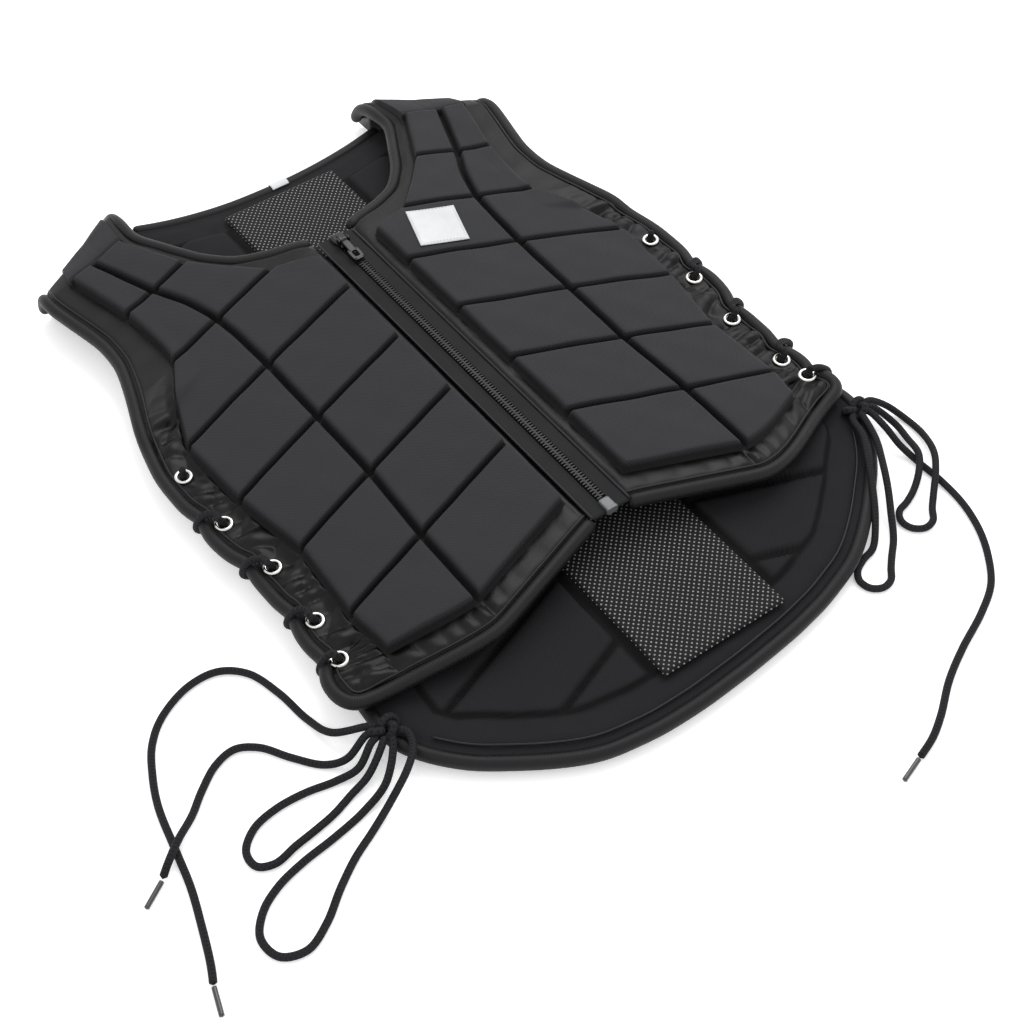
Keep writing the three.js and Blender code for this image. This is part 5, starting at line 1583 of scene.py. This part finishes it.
@dataclass
class Studio:
    """Camera, floor and soft light of the picture."""

    place: tuple = (-0.4933, -0.7777, 0.9398)
    right: tuple = (0.8103, -0.5858, -0.018)
    up: tuple = (0.4528, 0.6062, 0.6539)
    lens: float = 63.34

    def camera(self) -> None:
        """Makes the camera from its place and its right and up directions."""
        right = np.array(self.right) / np.linalg.norm(self.right)
        back = np.cross(right, np.array(self.up))
        back /= np.linalg.norm(back)
        up = np.cross(back, right)
        data = bpy.data.cameras.new("camera")
        data.lens = self.lens
        data.sensor_width = 36.0
        data.clip_end = 50.0
        camera = bpy.data.objects.new("camera", data)
        turn = np.column_stack([right, up, back])
        camera.matrix_world = Matrix.Translation(self.place) @ Matrix(turn.tolist()).to_4x4()
        bpy.context.scene.collection.objects.link(camera)
        bpy.context.scene.camera = camera

    def _light(self, name: str, at: tuple, aim: tuple, size: float, watts: float) -> None:
        """Adds a square soft light at a place, aimed at a point."""
        data = bpy.data.lights.new(name, "AREA")
        data.size = size
        data.energy = watts
        lamp = bpy.data.objects.new(name, data)
        back = np.array(at) - np.array(aim)
        back /= np.linalg.norm(back)
        side = np.cross([0.0, 1.0, 0.0], back)
        side /= np.linalg.norm(side)
        turn = np.column_stack([side, np.cross(back, side), back])
        lamp.matrix_world = Matrix.Translation(at) @ Matrix(turn.tolist()).to_4x4()
        bpy.context.scene.collection.objects.link(lamp)

    def light(self) -> None:
        """Makes a bright even sky and two large lamps."""
        scene = bpy.context.scene
        world = bpy.data.worlds.new("studio")
        world.use_nodes = True
        sky = world.node_tree.nodes["Background"]
        sky.inputs[0].default_value = (1.0, 1.0, 1.0, 1.0)
        sky.inputs[1].default_value = 1.03
        scene.world = world
        self._light("key", (0.9, 0.7, 1.8), (0.0, 0.0, 0.0), 1.6, 26.0)
        self._light("fill", (-1.2, -0.6, 1.8), (0.0, 0.0, 0.0), 1.6, 3.0)
        scene.view_settings.view_transform = "Standard"

    def floor(self) -> None:
        """Makes the white floor: a flat grid of frosted acrylic, lit from below so that shadows stay pale."""
        x, y = np.meshgrid(np.linspace(-6, 6, 3), np.linspace(-6, 6, 3), indexing="xy")
        mesh = bpy.data.meshes.new("floor")
        verts = np.stack([x, y, np.full_like(x, -0.0002)], axis=-1).reshape(-1, 3)
        quads, _, _ = patch(3, 3)
        mesh.from_pydata(verts.tolist(), [], quads.tolist())
        material = bpy.data.materials.new("frosted_acrylic_light_table")
        material.use_nodes = True
        shader = material.node_tree.nodes["Principled BSDF"]
        grain = add_node(material.node_tree, "ShaderNodeTexNoise", {}, {"Scale": 60.0}, {})
        tone = add_node(
            material.node_tree, "ShaderNodeMapRange", {}, {"To Min": 0.93, "To Max": 0.96}, {"Value": grain.outputs[0]}
        )
        material.node_tree.links.new(tone.outputs[0], shader.inputs["Base Color"])
        shader.inputs["Roughness"].default_value = 0.9
        shader.inputs["Emission Color"].default_value = (1.0, 1.0, 1.0, 1.0)
        shader.inputs["Emission Strength"].default_value = 0.34
        mesh.materials.append(material)
        floor = bpy.data.objects.new("floor", mesh)
        bpy.context.scene.collection.objects.link(floor)


def main() -> None:
    """Builds the camera and laces first, then every sub-assembly in order."""
    logging.basicConfig(level=logging.INFO, format="%(message)s")
    studio = Studio()
    studio.camera()
    finishes = Finishes()
    front = FrontPattern()
    back = BackPattern()
    lifts = {Side.RIGHT: 12.0, Side.LEFT: 36.0}
    eyelets = Eyelets(front, back, lifts)
    made = []
    laces = LooseLaces()
    made += laces.laces(finishes)
    made += laces.knot_pieces(finishes)
    for side in Side:
        half = FrontHalf(
            side, lifts[side], front, zip_border=6.0 if side is Side.RIGHT else 10.0, crossings=eyelets.crossings(side)
        )
        half.shape()
        made.append(half.panel(finishes))
        made += half.bindings(finishes)
    panel = BackPanel(front, {side: eyelets.crossings(side) for side in Side}, pattern=back)
    panel.shape()
    made.append(panel.panel(finishes))
    made += panel.bindings(finishes)
    made.append(panel.spine_mesh(finishes))
    zipper = Zip(front)
    made += zipper.tapes(finishes)
    made += [zipper.teeth(finishes), zipper.box_end(finishes), zipper.slider(finishes), zipper.pull(finishes)]
    made += eyelets.rings(finishes)
    made += eyelets.side_laces(finishes)
    labels = Labels(front, back)
    made += labels.chest(finishes)
    made.append(labels.neck(finishes, panel.neck_line))
    for piece in made:
        log.info("%s: %d faces", piece.name, len(piece.data.polygons))
    studio.light()
    studio.floor()


if __name__ == "__main__":
    main()
